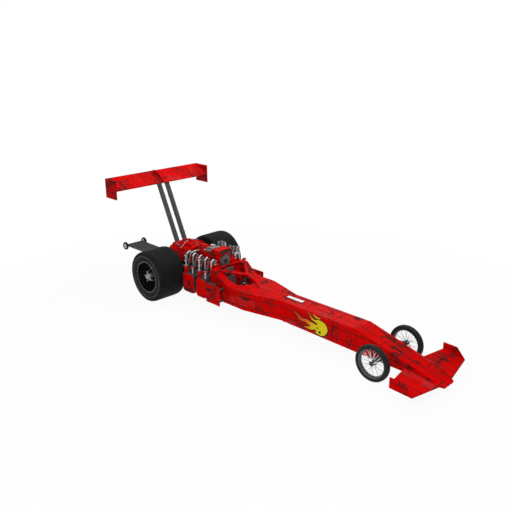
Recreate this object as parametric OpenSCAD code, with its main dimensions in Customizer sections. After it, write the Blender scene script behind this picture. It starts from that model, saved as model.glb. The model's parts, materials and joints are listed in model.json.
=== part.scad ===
// Drag racing car with a long needle nose, a rear-mounted engine and a tall rear wing.
// Millimetres. +Z is up, the nose points along -Y, the car's left side is +X.
// The origin is on the ground, in the middle of the car's length and width.
// Places along the car are counted from the rear axle, negative towards the nose.

/* [Overall] */
// Distance between the front and rear axles
wheelbase = 4550; // [4200:10:5600]
// From the front axle forward to the tip of the nose
nose_overhang = 945; // [840:5:1100]
// From the rear axle back to the centres of the anti-wheelie wheels
tail_overhang = 1750; // [1450:10:2100]

/* [Rear wheels] */
// Outside diameter of a rear tyre
rear_tyre_d = 930; // [860:5:1000]
// Width of a rear tyre
rear_tyre_w = 550; // [400:5:600]
// Distance between the outer walls of the rear tyres
rear_track_out = 1960; // [1860:10:2360]
// Diameter of a rear rim at its lip
rear_rim_d = 590; // [500:5:640]
// Diameter of the rear axle shaft
axle_d = 60; // [45:1:75]

/* [Front wheels] */
// Outside diameter of a front tyre
front_tyre_d = 548; // [500:2:620]
// Width of a front tyre
front_tyre_w = 84; // [60:2:110]
// Distance between the outer walls of the front tyres
front_track_out = 958; // [880:2:1100]
// Diameter of the front rim's lip
front_rim_d = 430; // [380:2:470]
// Number of spokes in a front wheel
spoke_count = 24; // [16:2:36]
// Diameter of a spoke
spoke_d = 6; // [4:0.5:9]

/* [Body] */
// Half width of the cockpit
cockpit_half_w = 385; // [340:5:400]
// Half width of the long forward body
fore_half_w = 190; // [170:5:220]
// Height of the flat deck above the ground
deck_z = 545; // [500:5:600]
// Height of the cockpit's shoulders above the ground
shoulder_z = 742; // [700:2:800]
// From the rear axle forward to the back of the cockpit
cockpit_back = 1090; // [1060:5:1160]
// Thickness of the body panels
panel_t = 5; // [3:0.5:10]
// Diameter of the tube of the driver's head guard
halo_d = 50; // [38:1:60]

/* [Front wing] */
// Distance between the outer faces of the front wing's end plates
front_wing_span = 1416; // [1200:4:1600]
// Height of the front wing's top surface
front_wing_z = 184; // [170:2:196]
// Thickness of the front wing
front_wing_t = 24; // [16:1:30]
// Thickness of every end plate
end_plate_t = 8; // [5:1:12]

/* [Rear wing] */
// Distance between the outer faces of the rear wing's end plates
rear_wing_span = 2148; // [1700:4:2400]
// Depth of the rear wing from its front edge to its back edge
rear_wing_chord = 353; // [300:1:430]
// Height of the front edge of the rear wing
rear_wing_z = 1976; // [1800:2:2100]
// Height of a rear wing end plate
rear_plate_h = 350; // [300:5:420]
// Distance between the middles of the two wing struts
strut_gap = 180; // [150:2:220]
// Width of a wing strut
strut_w = 66; // [50:2:80]

/* [Engine] */
// From the rear axle forward to the back of the engine block
engine_back = 340; // [330:5:400]
// Length of the engine block
engine_len = 680; // [560:10:700]
// Diameter of an exhaust pipe
pipe_d = 52; // [40:1:58]
// Wall of an exhaust pipe
pipe_wall = 3; // [2:0.5:5]
// Distance from the middle of the car to the outer exhaust stacks
stack_x = 470; // [440:5:500]

/* [Steering] */
// Diameter of the steering wheel
steering_wheel_d = 240; // [200:5:260]
// Diameter of the tie-down eyes behind the rear wheels
tie_down_d = 26; // [20:1:32]
// Diameter of the tie-down eyes in the front axle beam
front_eye_d = 16; // [12:1:20]
// Length of a steering arm
steer_arm = 110; // [90:2:120]
// Running clearance between a pin or shaft and its bore
run_gap = 0.05; // [0.02:0.01:0.1]

/* [Hidden] */
$fn = 48;

// Colours of the finishes
red = "crimson";
grey = "slategray";
dark = "dimgray";
black = "black";
bright = "silver";

// Anti-wheelie wheels
small_wheel_d = 160;
small_wheel_w = 46;
small_wheel_x = 226;
truss_half_w = 172;
truss_tube = 44;
truss_z = 484;

// Overall places, counted from the rear axle
front_y = -wheelbase;
nose_y = front_y - nose_overhang;
tail_y = tail_overhang + small_wheel_d / 2;
rear_y = -(nose_y + tail_y) / 2;
rear_z = rear_tyre_d / 2;
front_z = front_tyre_d / 2;

// Places along the body
back_y = -cockpit_back;
shoulder_y = back_y - 154;
crest_y = back_y - 480;
taper_y = back_y - 820;
neck_y = back_y - 1500;
slope_y = front_y + 480;
tip_y = nose_y + 185;
hatch_front_y = crest_y - 170;
bulkhead_t = 22;
rim_strip = 62;
cockpit_floor_z = 226;
neck_floor_z = 203;
nose_floor_z = 180;
nose_tip_top = 156;
nose_tip_bottom = 128;
nose_tip_half_w = 120;
tip_top = 231;
hatch_half_back = 262;
hatch_half_front = 204;

// Front axle and steering
axle_beam_h = 44;
axle_beam_l = 60;
kingpin_x = front_track_out / 2 - front_tyre_w - 34;
kingpin_d = 18;
knuckle_h = 92;
knuckle_d = 46;
hub_d = 74;
spindle_d = 26;
spindle_len = front_track_out / 2 - kingpin_x - 12;
tie_rod_d = 16;
tie_slot_h = 54;
tie_slot_half = 34;

// Engine
crank_z = 400;
block_half_w = 165;
block_top_z = 560;
block_bottom_z = 262;
engine_front_y = -engine_back - engine_len;
blower_half_w = 118;
blower_back_y = -engine_back - 270;
blower_front_y = engine_front_y - 26;
blower_z = 744;
blower_top_z = 912;
arch_count = 5;
arch_first = 52;
arch_pitch = (engine_len + 36 - arch_first) / (arch_count - 1);
arch_r = 42;
arch_x = 280;
arch_top_z = 900;
collar_h = 12;

// Frame
rail_d = 42;
rail_x = 262;
rail_z = 250;

// Places a piece that is worked out from the rear axle
module at_axle() {
    translate([0, rear_y, 0]) children();
}

// A straight round bar between two points
module bar(a, b, d) {
    v = b - a;
    h = norm(v);
    translate(a) rotate([0, acos(v.z / h), atan2(v.y, v.x)]) cylinder(h = h, d = d);
}

// An outline drawn as [y, z] points, as thick as w about the middle of the car
module side_profile(points, w) {
    rotate([90, 0, 90]) linear_extrude(w, center = true) polygon(points);
}

// The same thickness placed between x = a and x = b
module side_plate(points, a, b) {
    translate([(a + b) / 2, 0, 0]) side_profile(points, abs(b - a));
}

// A box between two corners
module block(a, b) {
    translate(a) cube(b - a);
}

module both_sides() {
    children();
    mirror([1, 0, 0]) children();
}

// A lathe-turned piece about the X axis, drawn as [radius, x] points
module turned(points) {
    rotate([0, 90, 0]) rotate_extrude($fn = 96) polygon(points);
}

// ---- Body ----

// Half width of the body's plan outline: [y, half width]
body_plan = [
    [back_y + 10, cockpit_half_w],
    [taper_y, cockpit_half_w],
    [neck_y, fore_half_w],
    [slope_y, fore_half_w],
    [tip_y, fore_half_w - 10],
    [nose_y, nose_tip_half_w],
];

function half_at(y) = lookup(-y, [for (p = body_plan) [-p[0], p[1]]]);

// Height of the concave shoulder between the cockpit's top and the deck
curve_steps = 10;
shoulder_curve = [for (i = [0 : curve_steps])
    let (t = i / curve_steps)
    [shoulder_y + (crest_y - shoulder_y) * t, deck_z + (shoulder_z - deck_z) * pow(1 - t, 1.8)]];

// Underside of the body: [y, z]
underside = [
    [back_y + 10, cockpit_floor_z],
    [taper_y, cockpit_floor_z],
    [neck_y, neck_floor_z],
    [slope_y, nose_floor_z],
    [front_y - front_z, nose_floor_z - 5],
    [nose_y, nose_tip_bottom],
];

function moved_z(points, dz) = [for (p = points) [p[0], p[1] + dz]];
function backwards(points) = [for (i = [len(points) - 1 : -1 : 0]) points[i]];

module plan_form(inset) {
    linear_extrude(1000) polygon(concat(
        [for (p = body_plan) [p[1] - inset, p[0]]],
        backwards([for (p = body_plan) [inset - p[1], p[0]]])));
}

// The body's outside, its top lowered by drop and its bottom raised by lift
module body_form(inset, drop, lift) {
    intersection() {
        plan_form(inset);
        side_profile(concat(
            [[back_y + 10, shoulder_z - drop]],
            moved_z(shoulder_curve, -drop),
            [[slope_y, deck_z - drop], [tip_y, tip_top - drop], [nose_y, nose_tip_top - drop]],
            backwards(moved_z(underside, lift))), 1200);
    }
}

module between(y_front, y_back) {
    intersection() {
        children();
        block([-1200, y_front, 0], [1200, y_back, 1200]);
    }
}

module body_shell(y_front, y_back) {
    between(y_front, y_back) difference() {
        body_form(0, 0, panel_t);
        body_form(panel_t, panel_t, -400);
    }
}

module nose_cone() {
    color(red) at_axle() difference() {
        between(nose_y, slope_y) body_form(0, 0, 0);
        // tunnel for the axle beam
        block([-400, front_y - axle_beam_l / 2, front_z - axle_beam_h / 2],
              [400, front_y + axle_beam_l / 2, front_z + axle_beam_h / 2]);
        // slot in which the tie rod swings
        block([-400, front_y + steer_arm - tie_slot_half, tie_rod_z - tie_slot_h / 2],
              [400, front_y + steer_arm + tie_slot_half, tie_rod_z + tie_slot_h / 2]);
    }
}

module fore_body() {
    color(red) at_axle() body_shell(slope_y, neck_y);
}

hatch = [
    [hatch_half_front, crest_y + 1],
    [hatch_half_front * 0.66, crest_y - 110],
    [0, hatch_front_y],
    [-hatch_half_front * 0.66, crest_y - 110],
    [-hatch_half_front, crest_y + 1],
];

module cowl() {
    color(red) at_axle() difference() {
        body_shell(neck_y, crest_y);
        translate([0, 0, deck_z - 100]) linear_extrude(300) polygon(hatch);
    }
}

module belly_pan() {
    color(red) at_axle() between(slope_y, back_y) intersection() {
        plan_form(0);
        side_profile(concat(underside, backwards(moved_z(underside, panel_t))), 1200);
    }
}

module cockpit_side() {
    at_axle() intersection() {
        body_form(0, 0, panel_t);
        linear_extrude(1000) polygon([
            [cockpit_half_w, back_y - bulkhead_t], [cockpit_half_w, crest_y],
            [hatch_half_front, crest_y], [hatch_half_back, shoulder_y],
            [hatch_half_back, back_y - bulkhead_t]]);
    }
}

module cockpit_side_left() { color(red) cockpit_side(); }
module cockpit_side_right() { color(red) mirror([1, 0, 0]) cockpit_side(); }

module rear_bulkhead() {
    color(red) at_axle() {
        block([-cockpit_half_w, back_y - bulkhead_t, cockpit_floor_z + panel_t],
              [cockpit_half_w, back_y, shoulder_z]);
        block([-hatch_half_back, back_y - rim_strip, shoulder_z - bulkhead_t],
              [hatch_half_back, back_y - bulkhead_t, shoulder_z]);
    }
}

// Y-shaped guard: one bar rises from the deck and splits into two arms to the shoulders
guard_foot = [0, hatch_front_y - 190, deck_z - 15];
guard_knee = [0, hatch_front_y - 2, deck_z + 120];
guard_hub = [0, crest_y - 50, deck_z + 145];
guard_arm = [hatch_half_back + 42, shoulder_y + 20, shoulder_z + 6];

// A bar with round ends
module round_bar(a, b, d) {
    hull() for (p = [a, b]) translate(p) sphere(d = d, $fn = 20);
}

module head_guard() {
    color(red) at_axle() difference() {
        union() {
            round_bar(guard_foot, guard_knee, halo_d);
            round_bar(guard_knee, guard_hub, halo_d);
            both_sides() round_bar(guard_hub, guard_arm, halo_d);
        }
        body_form(0, 0, 0);
    }
}

// Seat with a reclined back and side bolsters, standing on the floor
seat_half_w = 160;
bolster_t = 24;
seat_back_y = back_y - bulkhead_t;
floor_z = cockpit_floor_z + panel_t;

// Height of a point of the seat, t of the way from the floor to the deck
function seat_z(t) = floor_z + t * (deck_z - floor_z);

seat_line = [
    [seat_back_y, floor_z], [seat_back_y - 380, floor_z], [seat_back_y - 390, seat_z(0.284)],
    [seat_back_y - 200, seat_z(0.188)], [seat_back_y - 120, seat_z(0.315)], [seat_back_y - 40, 560],
    [seat_back_y - 34, 706], [seat_back_y, 706],
];
bolster_line = [
    [seat_back_y, floor_z], [seat_back_y - 340, floor_z], [seat_back_y - 360, seat_z(0.379)],
    [seat_back_y - 230, seat_z(0.506)], [seat_back_y - 130, 560], [seat_back_y - 70, 600],
    [seat_back_y, 600],
];

module seat() {
    color(dark) at_axle() {
        side_profile(seat_line, 2 * seat_half_w);
        both_sides() side_plate(bolster_line, seat_half_w, seat_half_w + bolster_t);
    }
}

// ---- Steering ----

wheel_tilt = 70;
column_d = 40;
column_len = 300;
stub_d = 20;
stub_len = 70;
steering_rim_d = 24;
steering_centre = [0, crest_y + 30, deck_z - 40];

// Places a piece whose Z axis points from the column to the driver
module on_column() {
    at_axle() translate(steering_centre) rotate([-wheel_tilt, 0, 0]) children();
}

module steering_column() {
    color(dark) {
        on_column() difference() {
            translate([0, 0, -column_len - 20]) cylinder(d = column_d, h = column_len);
            translate([0, 0, -20 - stub_len - 5]) cylinder(d = stub_d + 2 * run_gap, h = stub_len + 10);
        }
        // pedestal from the floor to the column, and the instrument box under the deck
        at_axle() difference() {
            block([-18, crest_y - 220, floor_z + 30], [18, crest_y - 180, deck_z - 120]);
            translate(steering_centre) rotate([-wheel_tilt, 0, 0])
                translate([0, 0, -column_len - 20]) cylinder(d = column_d - 2, h = column_len);
        }
        at_axle() pedestal_foot();
    }
}

module pedestal_foot() {
    intersection() {
        block([-60, crest_y - 240, 0], [60, crest_y - 160, floor_z + 34]);
        side_profile(concat(moved_z(underside, panel_t), backwards(moved_z(underside, 400))), 400);
    }
}

module steering_wheel() {
    color(black) on_column() {
        rotate_extrude($fn = 72) translate([steering_wheel_d / 2 - steering_rim_d / 2, 0])
            circle(d = steering_rim_d, $fn = 32);
        cylinder(d = 62, h = 26, center = true);
        for (a = [30, 150, 270]) rotate([0, 0, a])
            translate([0, -11, -4]) cube([steering_wheel_d / 2 - steering_rim_d / 2, 22, 8]);
        translate([0, 0, -stub_len - 20]) cylinder(d = stub_d, h = stub_len + 20);
    }
}

beam_end = kingpin_x - 14;
front_eye_x = kingpin_x - 80;
ear_gap = 1;
ear_h = (knuckle_h - axle_beam_h) / 2 - ear_gap;
web_t = 12;
arm_t = 14;
arm_w = 22;
tie_pin_d = 10;
eye_d = 28;
eye_h = 14;
eye_top_z = front_z + axle_beam_h / 2;
tie_rod_z = eye_top_z - eye_h / 2;

module front_axle() {
    color(dark) at_axle() difference() {
        union() {
            block([-beam_end, front_y - axle_beam_l / 2, front_z - axle_beam_h / 2],
                  [beam_end, front_y + axle_beam_l / 2, front_z + axle_beam_h / 2]);
            both_sides() translate([kingpin_x, front_y, front_z - axle_beam_h / 2])
                cylinder(d = knuckle_d, h = axle_beam_h);
        }
        both_sides() translate([kingpin_x, front_y, front_z - axle_beam_h])
            cylinder(d = kingpin_d + 2 * run_gap, h = 2 * axle_beam_h);
        both_sides() translate([front_eye_x, front_y, front_z - axle_beam_h])
            cylinder(d = front_eye_d, h = 2 * axle_beam_h);
    }
}

// Upright of a front wheel: a fork about the kingpin, the spindle and the steering arm
module knuckle() {
    eye_r = knuckle_d / 2;
    web_x = eye_r + 3;
    at_axle() translate([kingpin_x, front_y, front_z]) {
        for (z = [axle_beam_h / 2 + ear_gap, -knuckle_h / 2]) translate([0, 0, z]) {
            cylinder(d = knuckle_d, h = ear_h);
            block([0, -eye_r, 0], [web_x + web_t, eye_r, ear_h]);
        }
        block([web_x, -eye_r, -knuckle_h / 2], [web_x + web_t, eye_r, knuckle_h / 2]);
        cylinder(d = kingpin_d, h = knuckle_h - 2, center = true);
        translate([web_x, 0, 0]) rotate([0, 90, 0]) cylinder(d = spindle_d, h = spindle_len - web_x);
        translate([0, 0, axle_beam_h / 2 + ear_gap]) {
            block([-arm_w / 2, 0, 0], [arm_w / 2, steer_arm, arm_t]);
            translate([0, steer_arm, 0]) cylinder(d = eye_d, h = arm_t);
            translate([0, steer_arm, -eye_h - 2]) cylinder(d = tie_pin_d, h = eye_h + 2 + arm_t);
        }
    }
}

module knuckle_left() { color(dark) knuckle(); }
module knuckle_right() { color(dark) mirror([1, 0, 0]) knuckle(); }

// The rod's right eye is wide on its pin, where the steering linkage is left open
open_eye_gap = 1;

module tie_rod() {
    color(dark) at_axle() translate([0, front_y + steer_arm, tie_rod_z]) difference() {
        union() {
            rotate([0, 90, 0]) cylinder(d = tie_rod_d - 4, h = 2 * kingpin_x - eye_d / 2, center = true);
            for (x = [-kingpin_x, kingpin_x]) translate([x, 0, 0]) cylinder(d = eye_d, h = eye_h, center = true);
        }
        translate([kingpin_x, 0, 0]) cylinder(d = tie_pin_d + 2 * run_gap, h = 2 * eye_h, center = true);
        translate([-kingpin_x, 0, 0]) cylinder(d = tie_pin_d + 2 * open_eye_gap, h = 2 * eye_h, center = true);
    }
}

// ---- Wheels ----

seat_gap = 0.1;
front_wheel_x = (front_track_out - front_tyre_w) / 2;
front_rim_w = front_tyre_w - 30;
front_rim_depth = 20;
hub_in = kingpin_x + knuckle_d / 2 + 3 + web_t + 6;
hub_out = front_track_out / 2 - 7;

module at_front_wheel() {
    at_axle() translate([front_wheel_x, front_y, front_z]) children();
}

// Cross-section of a tyre: [radius, x], with rounded shoulders of radius r
function tyre_section(r_in, r_out, w, bead_w, r) = concat(
    [[r_in, -bead_w / 2], [r_in + (r_out - r_in) * 0.5, -w / 2]],
    [for (a = [180 : -22.5 : 90]) [r_out - r + r * sin(a), -w / 2 + r + r * cos(a)]],
    [for (a = [90 : -22.5 : 0]) [r_out - r + r * sin(a), w / 2 - r + r * cos(a)]],
    [[r_in + (r_out - r_in) * 0.5, w / 2], [r_in, bead_w / 2]]);

module front_tyre() {
    at_front_wheel() turned(tyre_section(front_rim_d / 2 - 6, front_z, front_tyre_w, front_rim_w, 26));
}

module front_tyre_left() { color(black) front_tyre(); }
module front_tyre_right() { color(black) mirror([1, 0, 0]) front_tyre(); }

// Rim ring, hub and two rows of crossed spokes
module front_rim() {
    lip_r = front_rim_d / 2;
    bed_r = lip_r - 6 - seat_gap;
    at_front_wheel() {
        turned([[bed_r - 14, -front_rim_w / 2 + 8], [bed_r, -front_rim_w / 2], [bed_r, front_rim_w / 2],
                [bed_r - 14, front_rim_w / 2 - 8]]);
        for (i = [0 : spoke_count - 1]) {
            side = i % 2 == 0 ? 1 : -1;
            a = 360 * i / spoke_count;
            b = a + (i % 4 < 2 ? 18 : -18);
            bar([side > 0 ? hub_out - front_wheel_x - 8 : hub_in - front_wheel_x + 8,
                 (hub_d / 2 - 6) * cos(b), (hub_d / 2 - 6) * sin(b)],
                [0, (bed_r - 6) * cos(a), (bed_r - 6) * sin(a)], spoke_d);
        }
    }
    at_axle() translate([0, front_y, front_z]) rotate([0, 90, 0]) difference() {
        translate([0, 0, hub_in]) cylinder(d = hub_d, h = hub_out - hub_in);
        cylinder(d = spindle_d + 2 * run_gap, h = hub_out + 10);
    }
}

module front_rim_left() { color(bright) front_rim(); }
module front_rim_right() { color(bright) mirror([1, 0, 0]) front_rim(); }

rear_wheel_x = (rear_track_out - rear_tyre_w) / 2;
rear_in_x = rear_wheel_x - rear_tyre_w / 2;
rear_out_x = rear_wheel_x + rear_tyre_w / 2;
rear_bead_w = rear_tyre_w - 28;
rear_bed_r = rear_rim_d / 2 - 12;
rear_barrel_t = 12;
disc_x = rear_in_x + 130;
disc_t = 26;
rear_hub_d = 170;

module at_rear_wheel() {
    at_axle() translate([rear_wheel_x, 0, rear_z]) children();
}

module rear_tyre() {
    at_rear_wheel() turned(tyre_section(rear_bed_r + seat_gap, rear_z, rear_tyre_w, rear_bead_w, 62));
}

module rear_tyre_left() { color(black) rear_tyre(); }
module rear_tyre_right() { color(black) mirror([1, 0, 0]) rear_tyre(); }

// Deep dished rim: barrel, five-spoke centre far inboard, and hub
module rear_rim() {
    half = rear_bead_w / 2;
    at_rear_wheel() turned([
        [rear_bed_r - rear_barrel_t, -half], [rear_bed_r, -half], [rear_bed_r, half],
        [rear_bed_r - rear_barrel_t, half]]);
    at_axle() translate([disc_x, 0, rear_z]) rotate([0, 90, 0]) difference() {
        union() {
            cylinder(r = rear_bed_r - rear_barrel_t / 2, h = disc_t);
            translate([0, 0, -30]) cylinder(d = rear_hub_d, h = 110);
        }
        for (i = [0 : 4]) rotate([0, 0, 72 * i]) window();
        translate([0, 0, -50]) cylinder(d = axle_d + 2 * seat_gap, h = 200);
    }
}

// One of the five openings between the spokes
module window() {
    r_in = rear_hub_d / 2 + 18;
    r_out = rear_bed_r - rear_barrel_t - 22;
    translate([0, 0, -5]) linear_extrude(disc_t + 10) polygon([
        [r_in * cos(14), r_in * sin(14)], [r_out * cos(24), r_out * sin(24)],
        [r_out / cos(24), 0],
        [r_out * cos(24), -r_out * sin(24)], [r_in * cos(14), -r_in * sin(14)]]);
}

module rear_rim_left() { color(black) rear_rim(); }
module rear_rim_right() { color(black) mirror([1, 0, 0]) rear_rim(); }

axle_len = 2 * (disc_x + disc_t + 70);

module rear_axle_shaft() {
    color(bright) at_axle() translate([0, 0, rear_z]) rotate([0, 90, 0])
        cylinder(d = axle_d, h = axle_len, center = true);
}

small_axle_d = 20;
small_bush_d = 40;
small_wheel_gap = 3;

module wheelie_wheels() {
    color(black) at_axle() translate([0, tail_overhang, truss_z]) {
        rotate([0, 90, 0]) cylinder(d = small_axle_d, h = 2 * small_wheel_x, center = true);
        for (x = [-small_wheel_x, small_wheel_x]) translate([x, 0, 0]) rotate([0, 90, 0]) {
            cylinder(d = small_wheel_d, h = small_wheel_w, center = true);
            cylinder(d = 60, h = small_wheel_w + 8, center = true);
        }
    }
}

// ---- Frame and running gear ----

frame_back_y = 140;
truss_pitch = 94;
plate_x = 250;
plate_t = 14;
housing_d = 116;
housing_end = rear_in_x - 40;
plate_half_l = 120;
plate_top_z = 640;
pod_in_x = 420;
pod_out_x = 530;
outer_rail_x = 395;
outer_rail_z = 600;
motor_plate_t = 8;
outrigger_z = 272;
strut_foot_y = 62;

module frame_rails() {
    color(dark) at_axle() {
        both_sides() {
            bar([rail_x, back_y, rail_z], [rail_x, frame_back_y - 20, rail_z], rail_d);
            bar([outer_rail_x, back_y, outer_rail_z], [outer_rail_x, rail_bend_y, outer_rail_z], rail_d);
            translate([outer_rail_x, rail_bend_y, outer_rail_z]) sphere(d = rail_d + 4);
            bar([outer_rail_x, rail_bend_y, outer_rail_z], [plate_x + plate_t / 2, -60, plate_top_z - 30], rail_d);
            axle_plate();
            for (y = outriggers) bar([rail_x, y, outrigger_z], [pod_in_x, y, outrigger_z], 30);
        }
        // crossmembers
        block([-plate_x - plate_t, frame_back_y - 20, truss_z - 46], [plate_x + plate_t, frame_back_y, truss_z + 46]);
        block([-cover_half_w, strut_foot_y - 40, plate_top_z - 34],
              [cover_half_w, strut_foot_y + 40, plate_top_z]);
        for (y = [-engine_back - engine_len / 2, frame_back_y - 60])
            bar([-rail_x, y, rail_z - 8], [rail_x, y, rail_z - 8], rail_d - 8);
        motor_plate(engine_front_y - motor_plate_t);
        motor_plate(-engine_back);
    }
}

rail_bend_y = -engine_back - 72;
outriggers = [-560, -740, -950, -1050];
// Clearance between the lower rails and the case on the rear axle
case_gap = 64;

// Upright plate on each side of the frame that carries the axle housing
module axle_plate() {
    difference() {
        block([plate_x, -plate_half_l, rail_z - 20], [plate_x + plate_t, frame_back_y, plate_top_z]);
        translate([0, 0, rear_z]) rotate([0, 90, 0]) cylinder(d = housing_d + 2 * seat_gap, h = 500);
    }
}

// Flat plate across the frame that carries the engine
module motor_plate(y) {
    in_x = 362;
    out_x = outer_rail_x + 10;
    translate([0, y, 0]) block_profile([
        [-rail_x, rail_z - 10], [rail_x, rail_z - 10], [out_x, outer_rail_z - 30], [out_x, outer_rail_z + 8],
        [in_x + 16, outer_rail_z + 8], [in_x, block_top_z - 5], [-in_x, block_top_z - 5],
        [-in_x - 16, outer_rail_z + 8], [-out_x, outer_rail_z + 8], [-out_x, outer_rail_z - 30]],
        motor_plate_t);
}

// An outline drawn as [x, z] points, from y = 0 back to y = length
module block_profile(points, length) {
    translate([0, length, 0]) rotate([90, 0, 0]) linear_extrude(length) polygon(points);
}

module rear_axle_housing() {
    color(grey) at_axle() difference() {
        union() {
            translate([0, 0, rear_z]) rotate([0, 90, 0]) {
                cylinder(d = housing_d, h = 2 * housing_end, center = true);
                for (x = [-housing_end + 8, housing_end - 8])
                    translate([0, 0, x]) cylinder(d = housing_d + 50, h = 16, center = true);
            }
            block([-128, -110, rail_z + rail_d / 2 + case_gap], [128, 108, plate_top_z - 45]);
        }
        translate([0, 0, rear_z]) rotate([0, 90, 0])
            cylinder(d = axle_d + 2 * run_gap, h = 2 * housing_end + 20, center = true);
    }
}

module gearbox() {
    color(grey) at_axle() translate([0, -engine_back + motor_plate_t, crank_z + 30]) rotate([-90, 0, 0]) {
        cylinder(d = 330, h = 90);
        cylinder(d = 220, h = engine_back - motor_plate_t - 110);
    }
}

// Eyes for tie-down straps, under the side tubes and clear of the rear tyres
tie_down_y = rear_tyre_d / 2 + 95;
tie_down_z = truss_z - 52;
tie_tab_t = 14;
tie_tab_half_l = tie_down_d / 2 + 19;

module wheelie_truss() {
    far_y = tail_overhang;
    color(dark) at_axle() difference() {
        union() {
            both_sides() bar([truss_half_w, frame_back_y, truss_z], [truss_half_w, far_y, truss_z], truss_tube);
            both_sides() block([truss_half_w - tie_tab_t / 2, tie_down_y - tie_tab_half_l, tie_down_z - 28],
                               [truss_half_w + tie_tab_t / 2, tie_down_y + tie_tab_half_l, truss_z]);
            for (y = [frame_back_y + truss_pitch : truss_pitch : far_y - truss_pitch / 2])
                bar([-truss_half_w, y, truss_z], [truss_half_w, y, truss_z], truss_tube - 14);
            translate([0, far_y, truss_z]) rotate([0, 90, 0])
                cylinder(d = small_bush_d + 10, h = 2 * (small_wheel_x - small_wheel_w / 2 - 4 - small_wheel_gap),
                         center = true);
        }
        translate([0, far_y, truss_z]) rotate([0, 90, 0])
            cylinder(d = small_axle_d + 2 * run_gap, h = 2 * small_wheel_x, center = true);
        translate([0, tie_down_y, tie_down_z]) rotate([0, 90, 0])
            cylinder(d = tie_down_d, h = 2 * truss_half_w + 100, center = true);
    }
}

// ---- Engine ----

head_in = 150;
head_out = 350;
head_top_z = 700;
ledge_z = 620;
ledge_x = 296;
cover_top_z = arch_top_z - pipe_d / 2 - arch_r - 20;
head_back_y = -engine_back - 20;
head_front_y = engine_front_y - 64;
manifold_half_w = 140;
manifold_front_y = engine_front_y + 26;
drum_d = 270;
drum_z = 800;

module engine_block() {
    color(grey) at_axle() translate([0, engine_front_y, 0]) block_profile([
        [-block_half_w, block_bottom_z], [block_half_w, block_bottom_z], [block_half_w, crank_z],
        [head_out - 50, block_top_z - 30], [head_out - 50, block_top_z],
        [50 - head_out, block_top_z], [50 - head_out, block_top_z - 30], [-block_half_w, crank_z]], engine_len);
}

module cylinder_heads() {
    color(grey) at_axle() both_sides() translate([0, head_front_y, 0]) block_profile([
        [head_in, block_top_z], [head_out, block_top_z], [head_out, ledge_z], [ledge_x, ledge_z],
        [ledge_x - 6, head_top_z], [head_in, head_top_z]], head_back_y - head_front_y);
}

module valve_covers() {
    color(red) at_axle() both_sides() translate([0, head_front_y + 8, 0]) block_profile([
        [head_in + 8, head_top_z], [ledge_x - 16, head_top_z], [ledge_x - 22, cover_top_z - 30],
        [arch_x - 14, cover_top_z], [arch_x - arch_r - 34, cover_top_z], [head_in + 8, cover_top_z - 50]],
        head_back_y - head_front_y - 16);
}

module intake_manifold() {
    color(red) at_axle() {
        block([-manifold_half_w, manifold_front_y, block_top_z], [manifold_half_w, -engine_back - 50, blower_z]);
        // arched rear plenum
        translate([0, -engine_back - 250, 0]) {
            block([-blower_half_w, 0, blower_z], [blower_half_w, 180, 870]);
            translate([0, 0, 870]) rotate([-90, 0, 0]) cylinder(r = blower_half_w, h = 180, $fn = 64);
        }
    }
}

module blower() {
    color(grey) at_axle() {
        block([-blower_half_w, manifold_front_y, blower_z], [blower_half_w, blower_back_y, blower_top_z]);
        translate([0, engine_front_y - 10, drum_z]) rotate([-90, 0, 0])
            cylinder(d = drum_d, h = manifold_front_y - engine_front_y + 10);
        // injector base
        block([-90, -engine_back - 640, blower_top_z], [90, blower_back_y - 60, blower_top_z + 24]);
    }
}

pulley_w = 38;
top_pulley_d = 200;
low_pulley_d = 160;
belt_t = 8;

module blower_drive() {
    y = engine_front_y - 12 - pulley_w;
    color(dark) at_axle() {
        translate([0, y, drum_z]) rotate([-90, 0, 0]) difference() {
            cylinder(d = top_pulley_d, h = pulley_w + 2);
            translate([0, 0, -1]) cylinder(d = top_pulley_d / 2, h = 18);
        }
        translate([0, y, crank_z]) rotate([-90, 0, 0]) cylinder(d = low_pulley_d, h = pulley_w + 4);
        // belt
        translate([0, y + 3, 0]) difference() {
            belt_loop(belt_t, pulley_w - 6);
            translate([0, -1, 0]) belt_loop(0, pulley_w);
        }
    }
}

// The flat loop around both pulleys, grown outwards by t
module belt_loop(t, w) {
    top_r = top_pulley_d / 2 + t;
    low_r = low_pulley_d / 2 + t;
    lean = asin((top_r - low_r) / (drum_z - crank_z));
    translate([0, 0, drum_z]) rotate([-90, 0, 0]) cylinder(r = top_r, h = w);
    translate([0, 0, crank_z]) rotate([-90, 0, 0]) cylinder(r = low_r, h = w);
    block_profile([
        [top_r * cos(lean), drum_z - top_r * sin(lean)], [-top_r * cos(lean), drum_z - top_r * sin(lean)],
        [-low_r * cos(lean), crank_z - low_r * sin(lean)], [low_r * cos(lean), crank_z - low_r * sin(lean)]], w);
}

scoop_half_w = 145;
scoop_wall = 6;
scoop_z = blower_top_z + 24;
scoop_back_y = -engine_back - 480;
scoop_front_y = engine_front_y - 90;
scoop_top_z = 1012;

module air_scoop() {
    outside = [
        [scoop_back_y, scoop_z], [scoop_back_y - 30, scoop_top_z - 16], [scoop_back_y - 90, scoop_top_z],
        [scoop_front_y + 60, scoop_top_z], [scoop_front_y, scoop_z + 12], [scoop_front_y + 60, scoop_z]];
    hollow = [
        [scoop_back_y - 70, scoop_z + scoop_wall + 8], [scoop_back_y - 90, scoop_top_z - scoop_wall],
        [scoop_front_y + 40, scoop_top_z - scoop_wall], [scoop_front_y - 60, scoop_top_z - 20],
        [scoop_front_y - 60, scoop_z + 16], [scoop_front_y + 55, scoop_z + scoop_wall]];
    color(red) at_axle() difference() {
        side_profile(outside, 2 * scoop_half_w);
        side_profile(hollow, 2 * (scoop_half_w - scoop_wall));
    }
}

pod_top_z = 575;
pod_bottom_z = 250;
pod_low_top_z = 540;

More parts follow.
